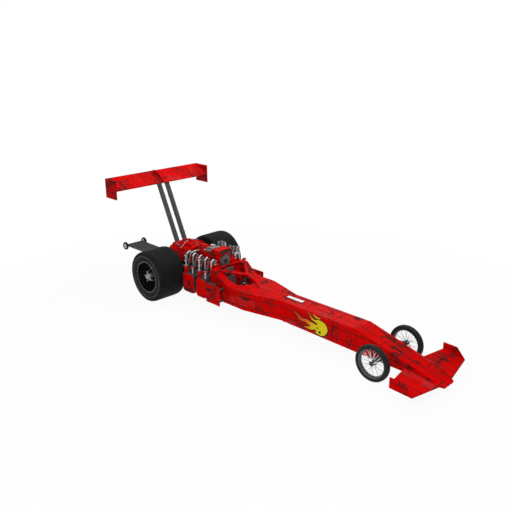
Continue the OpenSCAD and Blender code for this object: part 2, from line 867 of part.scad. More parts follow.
// Outer exhaust stacks: [y, top height]; the short ones carry a flange
tall_stacks = [[-535, 908], [-905, 918]];
short_stacks = [[-720, 735], [-1062, 735]];

module tube(d, h) {
    difference() {
        cylinder(d = d, h = h);
        translate([0, 0, -1]) cylinder(d = d - 2 * pipe_wall, h = h + 2);
    }
}

module stacks(table) {
    for (row = table) translate([stack_x, row[0], pod_top_z]) tube(pipe_d, row[1] - pod_top_z);
}

// Pipe that rises from the valve cover, arches outwards and runs down to the head's ledge
module arch_pipe() {
    centre_z = arch_top_z - pipe_d / 2 - arch_r;
    translate([arch_x, 0, centre_z]) rotate([90, 0, 0]) rotate_extrude(angle = 180, $fn = 64)
        translate([arch_r, 0]) circle(d = pipe_d, $fn = 32);
    translate([arch_x + arch_r, 0, ledge_z]) cylinder(d = pipe_d, h = centre_z - ledge_z);
    translate([arch_x - arch_r, 0, cover_top_z]) cylinder(d = pipe_d, h = centre_z - cover_top_z);
}

module exhaust_pipes() {
    color(bright) at_axle() {
        both_sides() {
            stacks(tall_stacks);
            for (i = [0 : arch_count - 1])
                translate([0, -engine_back - arch_first - arch_pitch * i, 0]) arch_pipe();
        }
        both_sides() stacks(short_stacks);
    }
}

collar_d = 84;

// Flanges on the short stacks and collars at the foot of the tall ones
module pipe_collars() {
    color(red) at_axle() both_sides() {
        for (row = short_stacks) translate([stack_x, row[0], row[1] - 26]) collar();
        for (row = tall_stacks) translate([stack_x, row[0], pod_top_z]) collar();
    }
}

module collar() {
    difference() {
        cylinder(d = collar_d, h = collar_h);
        translate([0, 0, -1]) cylinder(d = pipe_d + 2 * seat_gap, h = collar_h + 2);
    }
}

// ---- Side boxes and plates ----

// Boxes beside the engine: [front y, back y, top]
side_boxes = [[-800, -505, pod_top_z], [-1112, -880, pod_top_z], [-1290, -1112, pod_low_top_z]];

module side_pods() {
    color(grey) at_axle() both_sides() for (row = side_boxes)
        block([pod_in_x, row[0], pod_bottom_z], [pod_out_x, row[1], row[2]]);
}

// Plate with rounded corners between two [y, z] corners
module round_plate(a, b, r) {
    translate([pod_out_x, 0, 0]) rotate([90, 0, 90]) linear_extrude(panel_t + 1) union() {
        translate([a[0] + r, a[1]]) square([b[0] - a[0] - 2 * r, b[1] - a[1]]);
        translate([a[0], a[1] + r]) square([b[0] - a[0], b[1] - a[1] - 2 * r]);
        for (y = [a[0] + r, b[0] - r], z = [a[1] + r, b[1] - r]) translate([y, z]) circle(r = r);
    }
}

module side_plates() {
    color(red) at_axle() both_sides() {
        round_plate([-808, 238], [-512, 586], 58);
        round_plate([-1128, 238], [-876, 586], 58);
        round_plate([-1492, 206], [-1137, 561], 4);
    }
}

// ---- Rear bodywork, wing and parachutes ----

cover_half_w = 270;
cover_wall = 6;
cover_side = [
    [frame_back_y + 190, plate_top_z], [frame_back_y + 60, 905], [-80, 972], [-235, 962],
    [-engine_back + 20, 905], [-engine_back + 20, 800], [-200, plate_top_z]];

// The cover's outline from the front: sloping shoulders and a narrow crown
module cover_front(half_w, top_z) {
    translate([0, -700, 0]) block_profile([
        [-half_w, 0], [half_w, 0], [half_w, 750], [half_w - 30, 825], [half_w - 120, 912], [70, top_z],
        [-70, top_z], [120 - half_w, 912], [30 - half_w, 825], [-half_w, 750]], 1400);
}

module rear_cover() {
    color(red) at_axle() difference() {
        intersection() {
            side_profile(cover_side, 2 * cover_half_w);
            cover_front(cover_half_w, 976);
        }
        intersection() {
            translate([0, 0, -cover_wall]) side_profile([
                [frame_back_y + 180, plate_top_z + 14], [frame_back_y + 54, 898], [-80, 965], [-226, 955],
                [-engine_back + 26, 900], [-engine_back + 26, 600], [frame_back_y + 180, 600]],
                2 * (cover_half_w - cover_wall));
            cover_front(cover_half_w - cover_wall, 976 - cover_wall);
        }
        both_sides() strut_bar(strut_w + 12);
    }
}

wing_back = rear_wing_chord;
wing_y = 615;
wing_rise = 170;
crease_y = 180;
crease_z = 62;
wing_t = 26;
strut_x = strut_gap / 2;
strut_foot = [strut_x, strut_foot_y, plate_top_z];
strut_head = [strut_x, wing_y + 80, rear_wing_z + 10];

// One wing strut, square in section, leaning back from the frame to the wing
module strut_bar(w) {
    v = strut_head - strut_foot;
    translate(strut_foot) rotate([-atan2(v.y, v.z), 0, 0]) translate([-w / 2, -w / 2, -60])
        cube([w, w, norm(v) + 120]);
}

// The wing's section as [y, z] from its front edge, with a crease along its top
wing_top = [[0, 0], [crease_y, crease_z], [wing_back, wing_rise]];
wing_under = [[wing_back, wing_rise - 10], [crease_y + 10, crease_z - wing_t], [20, -wing_t], [0, -10]];

module at_wing() {
    at_axle() translate([0, wing_y, rear_wing_z]) children();
}

module rear_wing() {
    color(red) at_wing() side_profile(concat(wing_top, wing_under), rear_wing_span - 2 * end_plate_t);
}

module wing_struts() {
    color(dark) difference() {
        at_axle() both_sides() strut_bar(strut_w);
        at_axle() block([-400, -400, 0], [400, 400, plate_top_z]);
        at_wing() side_profile(concat(wing_under, [[-400, -10], [-400, 600], [wing_back + 300, 600],
            [wing_back + 300, wing_rise - 10]]), 800);
    }
}

rib_t = 20;
rib_h = 34;

module wing_plates() {
    color(red) at_wing() {
        both_sides() side_plate([[0, wing_rise - rear_plate_h], [wing_back, wing_rise - rear_plate_h],
            [wing_back, wing_rise], [0, wing_rise]], rear_wing_span / 2 - end_plate_t, rear_wing_span / 2);
        side_profile([[10, 10 * crease_z / crease_y], [crease_y, crease_z], [wing_back, wing_rise], [wing_back, wing_rise + 14],
            [wing_back - 110, wing_rise + 10], [30, rib_h - 12]], rib_t);
    }
}

module parachute_packs() {
    color(dark) at_axle() both_sides()
        block([212, frame_back_y, truss_z - 84], [330, frame_back_y + 300, truss_z + 120]);
}

wheel_room = 96;
wing_te_y = front_y - front_z - wheel_room;
wing_tip_y = nose_y + 142;
plate_back_y = wing_te_y - 80;
wing_root_y = nose_y + 34;

// Top of the front wing, which climbs towards its trailing edge
wing_climb = 76;
function wing_top_z(y) = front_wing_z + wing_climb * (y - wing_root_y) / (wing_te_y - wing_root_y);

module front_wing() {
    tip_x = front_wing_span / 2 - end_plate_t;
    color(red) at_axle() both_sides() intersection() {
        linear_extrude(400) polygon([
            [half_at(wing_te_y), wing_te_y], [tip_x, plate_back_y], [tip_x, wing_tip_y],
            [half_at(wing_root_y), wing_root_y], [half_at(tip_y), tip_y]]);
        side_profile([
            [wing_root_y, wing_top_z(wing_root_y) - front_wing_t], [wing_te_y, wing_top_z(wing_te_y) - front_wing_t],
            [wing_te_y, wing_top_z(wing_te_y)], [wing_root_y, wing_top_z(wing_root_y)]], front_wing_span + 40);
    }
}

module front_end_plates() {
    out_x = front_wing_span / 2;
    bottom_z = wing_top_z(wing_tip_y) - front_wing_t;
    color(red) at_axle() both_sides() side_plate([
        [wing_tip_y, bottom_z], [plate_back_y, bottom_z + 14],
        [plate_back_y, 353], [wing_tip_y + 136, 349], [wing_tip_y, bottom_z + front_wing_t]],
        out_x - end_plate_t, out_x);
}

nose_cone();
front_wing();
front_end_plates();
fore_body();
cowl();
belly_pan();
cockpit_side_left();
cockpit_side_right();
rear_bulkhead();
head_guard();
seat();
steering_column();
frame_rails();
engine_block();
cylinder_heads();
valve_covers();
intake_manifold();
blower();
blower_drive();
air_scoop();
exhaust_pipes();
pipe_collars();
gearbox();
rear_axle_housing();
rear_cover();
wing_struts();
rear_wing();
wing_plates();
wheelie_truss();
side_pods();
side_plates();
parachute_packs();
front_axle();
knuckle_left();
knuckle_right();
tie_rod();
steering_wheel();
front_tyre_left();
front_tyre_right();
front_rim_left();
front_rim_right();
rear_axle_shaft();
rear_tyre_left();
rear_tyre_right();
rear_rim_left();
rear_rim_right();
wheelie_wheels();
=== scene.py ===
"""Drag racing car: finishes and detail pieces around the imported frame. Metres, +Z up, nose towards -Y."""
import json
import math
import random

import bmesh
import bpy
from mathutils import Matrix, Vector
from mathutils.bvhtree import BVHTree
from mathutils.geometry import tessellate_polygon

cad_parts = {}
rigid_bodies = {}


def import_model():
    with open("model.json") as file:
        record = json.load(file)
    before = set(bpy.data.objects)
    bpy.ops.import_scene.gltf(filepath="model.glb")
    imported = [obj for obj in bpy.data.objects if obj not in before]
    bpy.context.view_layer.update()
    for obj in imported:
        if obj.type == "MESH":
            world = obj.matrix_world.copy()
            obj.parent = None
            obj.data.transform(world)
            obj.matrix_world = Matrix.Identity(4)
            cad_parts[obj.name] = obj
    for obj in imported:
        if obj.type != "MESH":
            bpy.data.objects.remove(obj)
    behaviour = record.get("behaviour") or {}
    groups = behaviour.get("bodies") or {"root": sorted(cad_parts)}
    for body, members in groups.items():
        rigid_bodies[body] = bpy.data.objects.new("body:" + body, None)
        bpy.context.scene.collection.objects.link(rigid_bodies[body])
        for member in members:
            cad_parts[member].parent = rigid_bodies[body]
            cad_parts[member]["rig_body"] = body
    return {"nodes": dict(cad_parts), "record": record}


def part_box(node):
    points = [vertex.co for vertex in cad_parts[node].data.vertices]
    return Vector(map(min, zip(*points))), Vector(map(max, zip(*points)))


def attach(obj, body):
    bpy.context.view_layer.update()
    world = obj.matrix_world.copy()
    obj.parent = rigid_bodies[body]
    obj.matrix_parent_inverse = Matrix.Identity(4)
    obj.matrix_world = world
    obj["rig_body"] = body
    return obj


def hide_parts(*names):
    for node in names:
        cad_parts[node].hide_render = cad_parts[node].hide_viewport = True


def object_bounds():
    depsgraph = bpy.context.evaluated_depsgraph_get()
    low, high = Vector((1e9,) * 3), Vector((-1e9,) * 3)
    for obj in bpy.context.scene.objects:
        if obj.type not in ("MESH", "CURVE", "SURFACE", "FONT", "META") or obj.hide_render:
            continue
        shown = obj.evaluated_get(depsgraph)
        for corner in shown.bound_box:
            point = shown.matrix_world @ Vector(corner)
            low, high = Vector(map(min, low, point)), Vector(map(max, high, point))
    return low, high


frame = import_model()
cad_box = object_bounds()
REAR_Y = sum(corner.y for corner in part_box("rear_rim_left")) / 2
NODES = frame["nodes"]
rng = random.Random(7)
LEFT, RIGHT = 1, -1
SIDES = {LEFT: "left", RIGHT: "right"}

# ---------------------------------------------------------------- shader expressions


class Sock:
    """A shader socket that can be used in arithmetic."""

    def __init__(self, net, out):
        self.net, self.out = net, out

    def between(self, low, high):
        """0 at low, 1 at high, smooth in between."""
        return self.net.make("ShaderNodeMapRange", {"interpolation_type": "SMOOTHSTEP"},
                             {"Value": self, "From Min": low, "From Max": high})


def arithmetic(operation, swapped=False):
    """A method of Sock that puts one math node behind it."""
    def method(self, *others):
        values = (*others, self) if swapped else (self, *others)
        return self.net.make("ShaderNodeMath", {"operation": operation}, dict(enumerate(values)))
    return method


for word, operation in (("add", "ADD"), ("sub", "SUBTRACT"), ("mul", "MULTIPLY")):
    setattr(Sock, f"__{word}__", arithmetic(operation))
    setattr(Sock, f"__r{word}__", arithmetic(operation, swapped=True))
for word, operation in (("__gt__", "GREATER_THAN"), ("top", "MAXIMUM"), ("size", "ABSOLUTE"),
                        ("sine", "SINE")):
    setattr(Sock, word, arithmetic(operation))


class Net:
    """The node tree of one material."""

    def __init__(self, name):
        self.material = bpy.data.materials.new(name)
        self.material.use_nodes = True
        self.tree = self.material.node_tree
        self.shader = next(n for n in self.tree.nodes if n.type == "BSDF_PRINCIPLED")
        self.spot = 0

    def make(self, kind, settings=None, inputs=None, output=0):
        """A new node with its settings and inputs, as the socket of one of its outputs."""
        node = self.tree.nodes.new(kind)
        self.spot += 1
        node.location = (-200 * (self.spot % 12) - 300, -180 * (self.spot // 12))
        for key, value in (settings or {}).items():
            if key == "stops":
                self._stops(node.color_ramp, value)
            else:
                setattr(node, key, value)
        for key, value in (inputs or {}).items():
            self.feed(node.inputs[key], value)
        return Sock(self, node.outputs[output])

    def _stops(self, ramp, stops):
        """A ramp's places and colours."""
        while len(ramp.elements) < len(stops):
            ramp.elements.new(1.0)
        for element, (place, colour) in zip(ramp.elements, stops):
            element.position = place
            element.color = (*colour, 1.0)

    def feed(self, socket, value):
        """Links an input to a socket, or sets it to a value."""
        if isinstance(value, Sock):
            self.tree.links.new(value.out, socket)
        elif isinstance(value, tuple) and len(value) == 3 and socket.type == "RGBA":
            socket.default_value = (*value, 1.0)
        else:
            socket.default_value = value

    def place(self):
        """The point on the surface, in the car's own frame."""
        return self.make("ShaderNodeTexCoord", output=3)

    def facing(self):
        """The surface's normal, in the car's own frame."""
        return self.make("ShaderNodeTexCoord", output=1)

    def split(self, vector):
        """The three parts of a vector."""
        node = self.tree.nodes.new("ShaderNodeSeparateXYZ")
        self.feed(node.inputs[0], vector)
        return [Sock(self, node.outputs[i]) for i in range(3)]

    def join(self, x, y, z=0.0):
        """A vector from its parts."""
        return self.make("ShaderNodeCombineXYZ", {}, {0: x, 1: y, 2: z})

    def noise(self, where, scale, detail=4.0, rough=0.55):
        """Cloudy values around a half."""
        return self.make("ShaderNodeTexNoise", {},
                         {"Vector": where, "Scale": scale, "Detail": detail, "Roughness": rough})

    def blend(self, factor, a, b):
        """A colour between a and b."""
        return self.make("ShaderNodeMix", {"data_type": "RGBA"}, {0: factor, 6: a, 7: b}, output=2)

    def choose(self, factor, a, b):
        """A vector between a and b."""
        return self.make("ShaderNodeMix", {"data_type": "VECTOR"}, {0: factor, 4: a, 5: b}, output=1)

    def bump(self, height, distance, strength=1.0):
        """Relief on the finished surface."""
        normal = self.make("ShaderNodeBump", {}, {"Height": height, "Distance": distance,
                                                  "Strength": strength})
        self.feed(self.shader.inputs["Normal"], normal)

    def set(self, **sockets):
        """The shader's inputs by name, with a low line for a space."""
        for name, value in sockets.items():
            self.feed(self.shader.inputs[name.replace("_", " ")], value)


def panels(net, where, facing, seed, length, height, width):
    """Rectangular panels on the flat that each surface faces: their seams, and a random number for each."""
    x, y, z = net.split(where)
    _, ny, nz = (part.size() for part in net.split(facing))
    side_uv = net.join(y + seed, z + seed * 0.13)
    top_uv = net.join(y + seed, x + 0.37)
    end_uv = net.join(x + seed, z)
    uv = net.choose(ny > 0.85, net.choose(nz > 0.6, side_uv, top_uv), end_uv)
    brick = net.tree.nodes.new("ShaderNodeTexBrick")
    brick.offset, brick.offset_frequency, brick.squash, brick.squash_frequency = 0.37, 3, 1.6, 2
    for key, value in {"Vector": uv, "Scale": 1.0, "Mortar Size": width, "Mortar Smooth": 0.1,
                       "Brick Width": length, "Row Height": height, "Color1": (0.0, 0.0, 0.0),
                       "Color2": (1.0, 1.0, 1.0), "Mortar": (0.0, 0.0, 0.0)}.items():
        net.feed(brick.inputs[key], value)
    pick = net.split(Sock(net, brick.outputs["Color"]))[0]
    return Sock(net, brick.outputs["Fac"]), pick


def red_paint():
    """Satin red over a worn ground, in panels whose seams have darkened."""
    net = Net("red_paint_worn")
    where, facing = net.place(), net.facing()
    x, y, z = net.split(where)
    seams, broad = panels(net, where, facing, 0.31, 0.47, 0.163, 0.0072)
    fine_seams, fine = panels(net, where, facing, 5.17, 0.131, 0.052, 0.0052)
    zones = net.noise(where, 2.3, 2.0).between(0.515, 0.545)
    tone = net.noise(where, 0.9, 3.0).between(0.35, 0.65)
    streaks = net.noise(net.join(x * 16.0, y * 5.0, z * 26.0), 1.0, 6.0, 0.72)
    cloud = net.noise(where, 4.2, 5.0, 0.6)
    pale = broad.between(0.66, 0.72) * cloud.between(0.40, 0.60)
    soiled = zones * fine.between(0.55, 0.62) * streaks.between(0.36, 0.56)
    wiped = streaks.between(0.50, 0.66) * cloud.between(0.52, 0.66)
    specks = net.noise(where, 60.0, 3.0, 0.6).between(0.66, 0.70)
    colour = net.blend(tone, (0.58, 0.0, 0.0), (0.72, 0.0006, 0.0006))
    colour = net.blend(pale * 0.42, colour, (0.38, 0.040, 0.042))
    colour = net.blend(wiped * 0.62, colour, (0.12, 0.010, 0.010))
    colour = net.blend(soiled * 0.80, colour, (0.040, 0.014, 0.014))
    colour = net.blend(specks * 0.5, colour, (0.09, 0.03, 0.03))
    colour = net.blend(fine_seams * zones * 0.92, colour, (0.020, 0.012, 0.012))
    colour = net.blend(seams * (0.66 + 0.34 * cloud.between(0.4, 0.6)), colour, (0.016, 0.010, 0.010))
    net.set(Base_Color=colour, Roughness=0.50 + 0.18 * soiled + 0.14 * wiped)
    net.shader.inputs["Specular IOR Level"].default_value = 0.02
    grain = net.noise(where, 420.0, 2.0) * 0.05
    net.bump(grain - seams.top(fine_seams * zones) - wiped * 0.10, 0.0016)
    return net.material


def metal(name, colour, rough, metallic=1.0, grime=0.3, grain=(60.0, 60.0, 60.0), depth=0.0003):
    """A bare or cast metal with grime in patches and a directional grain."""
    net = Net(name)
    where = net.place()
    x, y, z = net.split(where)
    lay = net.noise(net.join(x * grain[0], y * grain[1], z * grain[2]), 1.0, 4.0, 0.6)
    spots = net.noise(where, 14.0, 6.0, 0.65)
    soil = spots.between(0.52, 0.74) * grime
    darker = tuple(c * 0.82 for c in colour)
    base = net.blend(lay.between(0.3, 0.7), darker, colour)
    base = net.blend(soil, base, (0.03, 0.028, 0.026))
    net.set(Base_Color=base, Metallic=metallic * (1.0 - soil * 0.6),
            Roughness=rough + 0.12 * lay + 0.35 * soil)
    net.bump(lay + 0.5 * spots, depth)
    return net.material


def chrome():
    """Chromed steel that is smudged, and tinted by heat low down."""
    net = Net("chrome_pipe")
    where = net.place()
    z = net.split(where)[2]
    heat = net.noise(where, 9.0, 4.0)
    smudge = net.noise(where, 45.0, 5.0, 0.65)
    blue = z.between(0.70, 0.62) * heat.between(0.35, 0.65)
    base = net.blend(blue * 0.55, (0.30, 0.31, 0.32), (0.17, 0.13, 0.10))
    base = net.blend(smudge.between(0.55, 0.8) * 0.4, base, (0.12, 0.12, 0.125))
    net.set(Base_Color=base, Metallic=1.0, Roughness=0.16 + 0.22 * smudge.between(0.45, 0.8))
    net.bump(smudge, 0.00012)
    return net.material


def enamel(name, colour, rough=0.42, chip=(0.16, 0.165, 0.17), speck=0.25):
    """Satin enamel with chips, dust and a light orange-peel."""
    net = Net(name)
    where = net.place()
    peel = net.noise(where, 260.0, 2.0)
    wear = net.noise(where, 19.0, 7.0, 0.7)
    chips = wear.between(0.60, 0.66)
    dust = net.noise(where, 5.0, 4.0).between(0.4, 0.75)
    base = net.blend(dust * speck, colour, tuple(c * 0.5 + 0.06 for c in colour))
    base = net.blend(chips * 0.7, base, chip)
    net.set(Base_Color=base, Roughness=rough + 0.2 * dust + 0.1 * chips)
    net.bump(peel * 0.4 - chips, 0.0003)
    return net.material


def rubber(name, colour=(0.0042, 0.0042, 0.0045), rough=0.80, scale=1.0):
    """Matt tyre rubber: fine grain, scuffed patches and circular mould marks."""
    net = Net(name)
    where = net.place()
    x, y, z = net.split(where)
    grain = net.noise(where, 330.0 * scale, 3.0, 0.7)
    scuff = net.noise(net.join(x * 34.0, y * 7.0, z * 7.0), 1.0, 6.0, 0.65)
    marbles = net.make("ShaderNodeTexVoronoi", {}, {"Vector": where, "Scale": 150.0 * scale})
    worn = scuff.between(0.42, 0.7)
    base = net.blend(worn, colour, tuple(c * 1.5 + 0.003 for c in colour))
    net.set(Base_Color=base, Roughness=rough - 0.08 * worn + 0.08 * grain)
    net.shader.inputs["Specular IOR Level"].default_value = 0.14
    net.bump(grain * 0.7 + marbles * 0.4 + scuff * 0.5, 0.0009)
    return net.material


def weave(name, colour, light, pitch, rough=0.7, depth=0.0005, sheen=0.0):
    """Two-way woven cloth or composite."""
    net = Net(name)
    where = net.place()
    x, y, z = net.split(where)
    warp = ((x + z * 0.5) * (math.tau / pitch)).sine()
    weft = ((y + z) * (math.tau / pitch)).sine()
    over = (warp * weft).between(-0.4, 0.4)
    fray = net.noise(where, 160.0, 4.0)
    fade = net.noise(where, 6.0, 4.0)
    base = net.blend(over * 0.8 + 0.2 * fray, colour, light)
    base = net.blend(fade.between(0.5, 0.8) * 0.3, base, tuple(c * 1.5 + 0.01 for c in light))
    net.set(Base_Color=base, Roughness=rough + 0.1 * fray)
    net.shader.inputs["Sheen Weight"].default_value = sheen
    net.bump(over + 0.3 * fray, depth)
    return net.material


def decal(name, tones, along=None, rough=0.32):
    """Painted lettering-free artwork: one tone, or a fade between tones along the car."""
    net = Net(name)
    where = net.place()
    _, y, z = net.split(where)
    fleck = net.noise(where, 40.0, 5.0, 0.7).between(0.5, 0.75)
    if along:
        t = (y + z * 0.35).between(*along)
        colour = net.make("ShaderNodeValToRGB", {"stops": tones}, {"Fac": t})
    else:
        colour = net.blend(fleck * 0.25, tones, tuple(c * 0.75 for c in tones))
    net.set(Base_Color=colour, Roughness=rough + 0.25 * fleck, Coat_Weight=0.04 * (1.0 - fleck))
    net.shader.inputs["Specular IOR Level"].default_value = 0.05
    net.bump(net.noise(where, 300.0, 2.0), 0.0001)
    return net.material


MAT = {
    "red": red_paint(),
    "dark": enamel("dark_steel", (0.024, 0.025, 0.026), 0.5),
    "black_gloss": enamel("black_powder_coat", (0.006, 0.006, 0.007), 0.16, chip=(0.05, 0.05, 0.05),
                          speck=0.12),
    "grimy": metal("grimy_iron", (0.055, 0.057, 0.060), 0.50, 0.6, 0.5, (120.0, 120.0, 120.0), 0.0006),
    # The faint teal tint of this grey is painted shade, the cool look the castings have in shadow.
    "cast": metal("cast_alloy", (0.20, 0.21, 0.215), 0.42, 0.8, 0.45, (180.0, 180.0, 180.0), 0.0005),
    "machined": metal("machined_alloy", (0.62, 0.63, 0.64), 0.22, 1.0, 0.18, (400.0, 30.0, 30.0), 0.0002),
    "steel": metal("zinc_steel", (0.48, 0.48, 0.47), 0.30, 1.0, 0.3),
    "chrome": chrome(),
    "wire": metal("spoke_wire", (0.86, 0.87, 0.88), 0.32, 0.35, 0.08),
    "tyre": rubber("slick_rubber"),
    "wall_ring": rubber("sidewall_ring", (0.030, 0.030, 0.031), 0.62, 2.0),
    "pale_alloy": metal("pale_alloy", (0.36, 0.37, 0.38), 0.36, 0.55, 0.22, (90.0, 90.0, 90.0), 0.0004),
    "bright_lip": metal("polished_lip", (0.05, 0.05, 0.052), 0.20, 0.9, 0.2),
    "hoop_alloy": metal("hoop_alloy", (0.10, 0.105, 0.11), 0.34, 0.9, 0.3),
    # Near-black enamel: soot in the exhaust, and painted shade where it fills bores, holes and the scoop's
    # throat.
    "soot_and_shade": enamel("soot_and_painted_shade", (0.010, 0.009, 0.009), 0.9, chip=(0.03, 0.03, 0.03)),
    "lead": enamel("plug_lead", (0.16, 0.16, 0.17), 0.45, speck=0.2),
    "rivet": enamel("painted_rivet", (0.22, 0.016, 0.016), 0.5, chip=(0.10, 0.10, 0.10)),
    "gauge": enamel("gauge_face", (0.70, 0.70, 0.68), 0.35, chip=(0.5, 0.5, 0.5), speck=0.1),
    "maroon": decal("flame_shadow", (0.035, 0.0015, 0.008), rough=0.5),
    "flame": decal("flame_fade", [(0.0, (0.70, 0.62, 0.008)), (0.34, (0.68, 0.50, 0.008)),
                                  (0.60, (0.72, 0.17, 0.010)),
                                  (1.0, (0.60, 0.055, 0.008))], (REAR_Y - 3.42, REAR_Y - 2.72), rough=0.5),
    "small_tyre": rubber("front_rubber", (0.012, 0.012, 0.013), 0.6, 2.0),
    "grip": rubber("grip_rubber", (0.02, 0.02, 0.022), 0.65, 3.0),
    "hose": rubber("hose_rubber", (0.015, 0.015, 0.016), 0.5, 3.0),
    "shell": weave("composite_shell", (0.012, 0.012, 0.013), (0.05, 0.05, 0.053), 0.008, 0.35),
    "cloth": weave("pack_nylon", (0.016, 0.016, 0.018), (0.035, 0.036, 0.04), 0.0024, 0.82, 0.0004, 0.3),
    "cushion": weave("seat_cloth", (0.020, 0.021, 0.023), (0.045, 0.046, 0.05), 0.003, 0.85, 0.0005, 0.4),
    "belt": weave("harness_webbing", (0.13, 0.004, 0.004), (0.30, 0.012, 0.012), 0.0035, 0.75, 0.0004),
    "white": decal("white_band", (0.82, 0.83, 0.83)),
}

# ---------------------------------------------------------------- making and joining pieces


def shaped(name, verts, faces, material, body, smooth=True, replaces=()):
    """A new piece from points and faces, with its finish and its body."""
    mesh = bpy.data.meshes.new(name)
    mesh.from_pydata([tuple(v) for v in verts], [], faces)
    mesh.update()
    return finished(name, mesh, material, body, smooth, replaces)


def finished(name, mesh, material, body, smooth=True, replaces=()):
    """Cleans up a mesh and puts it in the scene as a piece."""
    work = bmesh.new()
    work.from_mesh(mesh)
    bmesh.ops.remove_doubles(work, verts=work.verts, dist=1e-6)
    bmesh.ops.recalc_face_normals(work, faces=work.faces)
    work.to_mesh(mesh)
    work.free()
    piece = bpy.data.objects.new(name, mesh)
    bpy.context.scene.collection.objects.link(piece)
    mesh.materials.append(MAT[material] if isinstance(material, str) else material)
    if smooth:
        mesh.shade_smooth()
        mesh.set_sharp_from_angle(angle=math.radians(38))
    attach(piece, body)
    if replaces:
        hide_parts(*replaces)
    return piece


def polar(radius, turn, height=0.0):
    """A point on a circle about local Z."""
    return Vector((radius * math.cos(turn), radius * math.sin(turn), height))


def along_axis(axis, at=(0, 0, 0)):
    """A frame whose local Z points along an axis."""
    return Matrix.Translation(Vector(at)) @ Vector(axis).to_track_quat("Z", "Y").to_matrix().to_4x4()


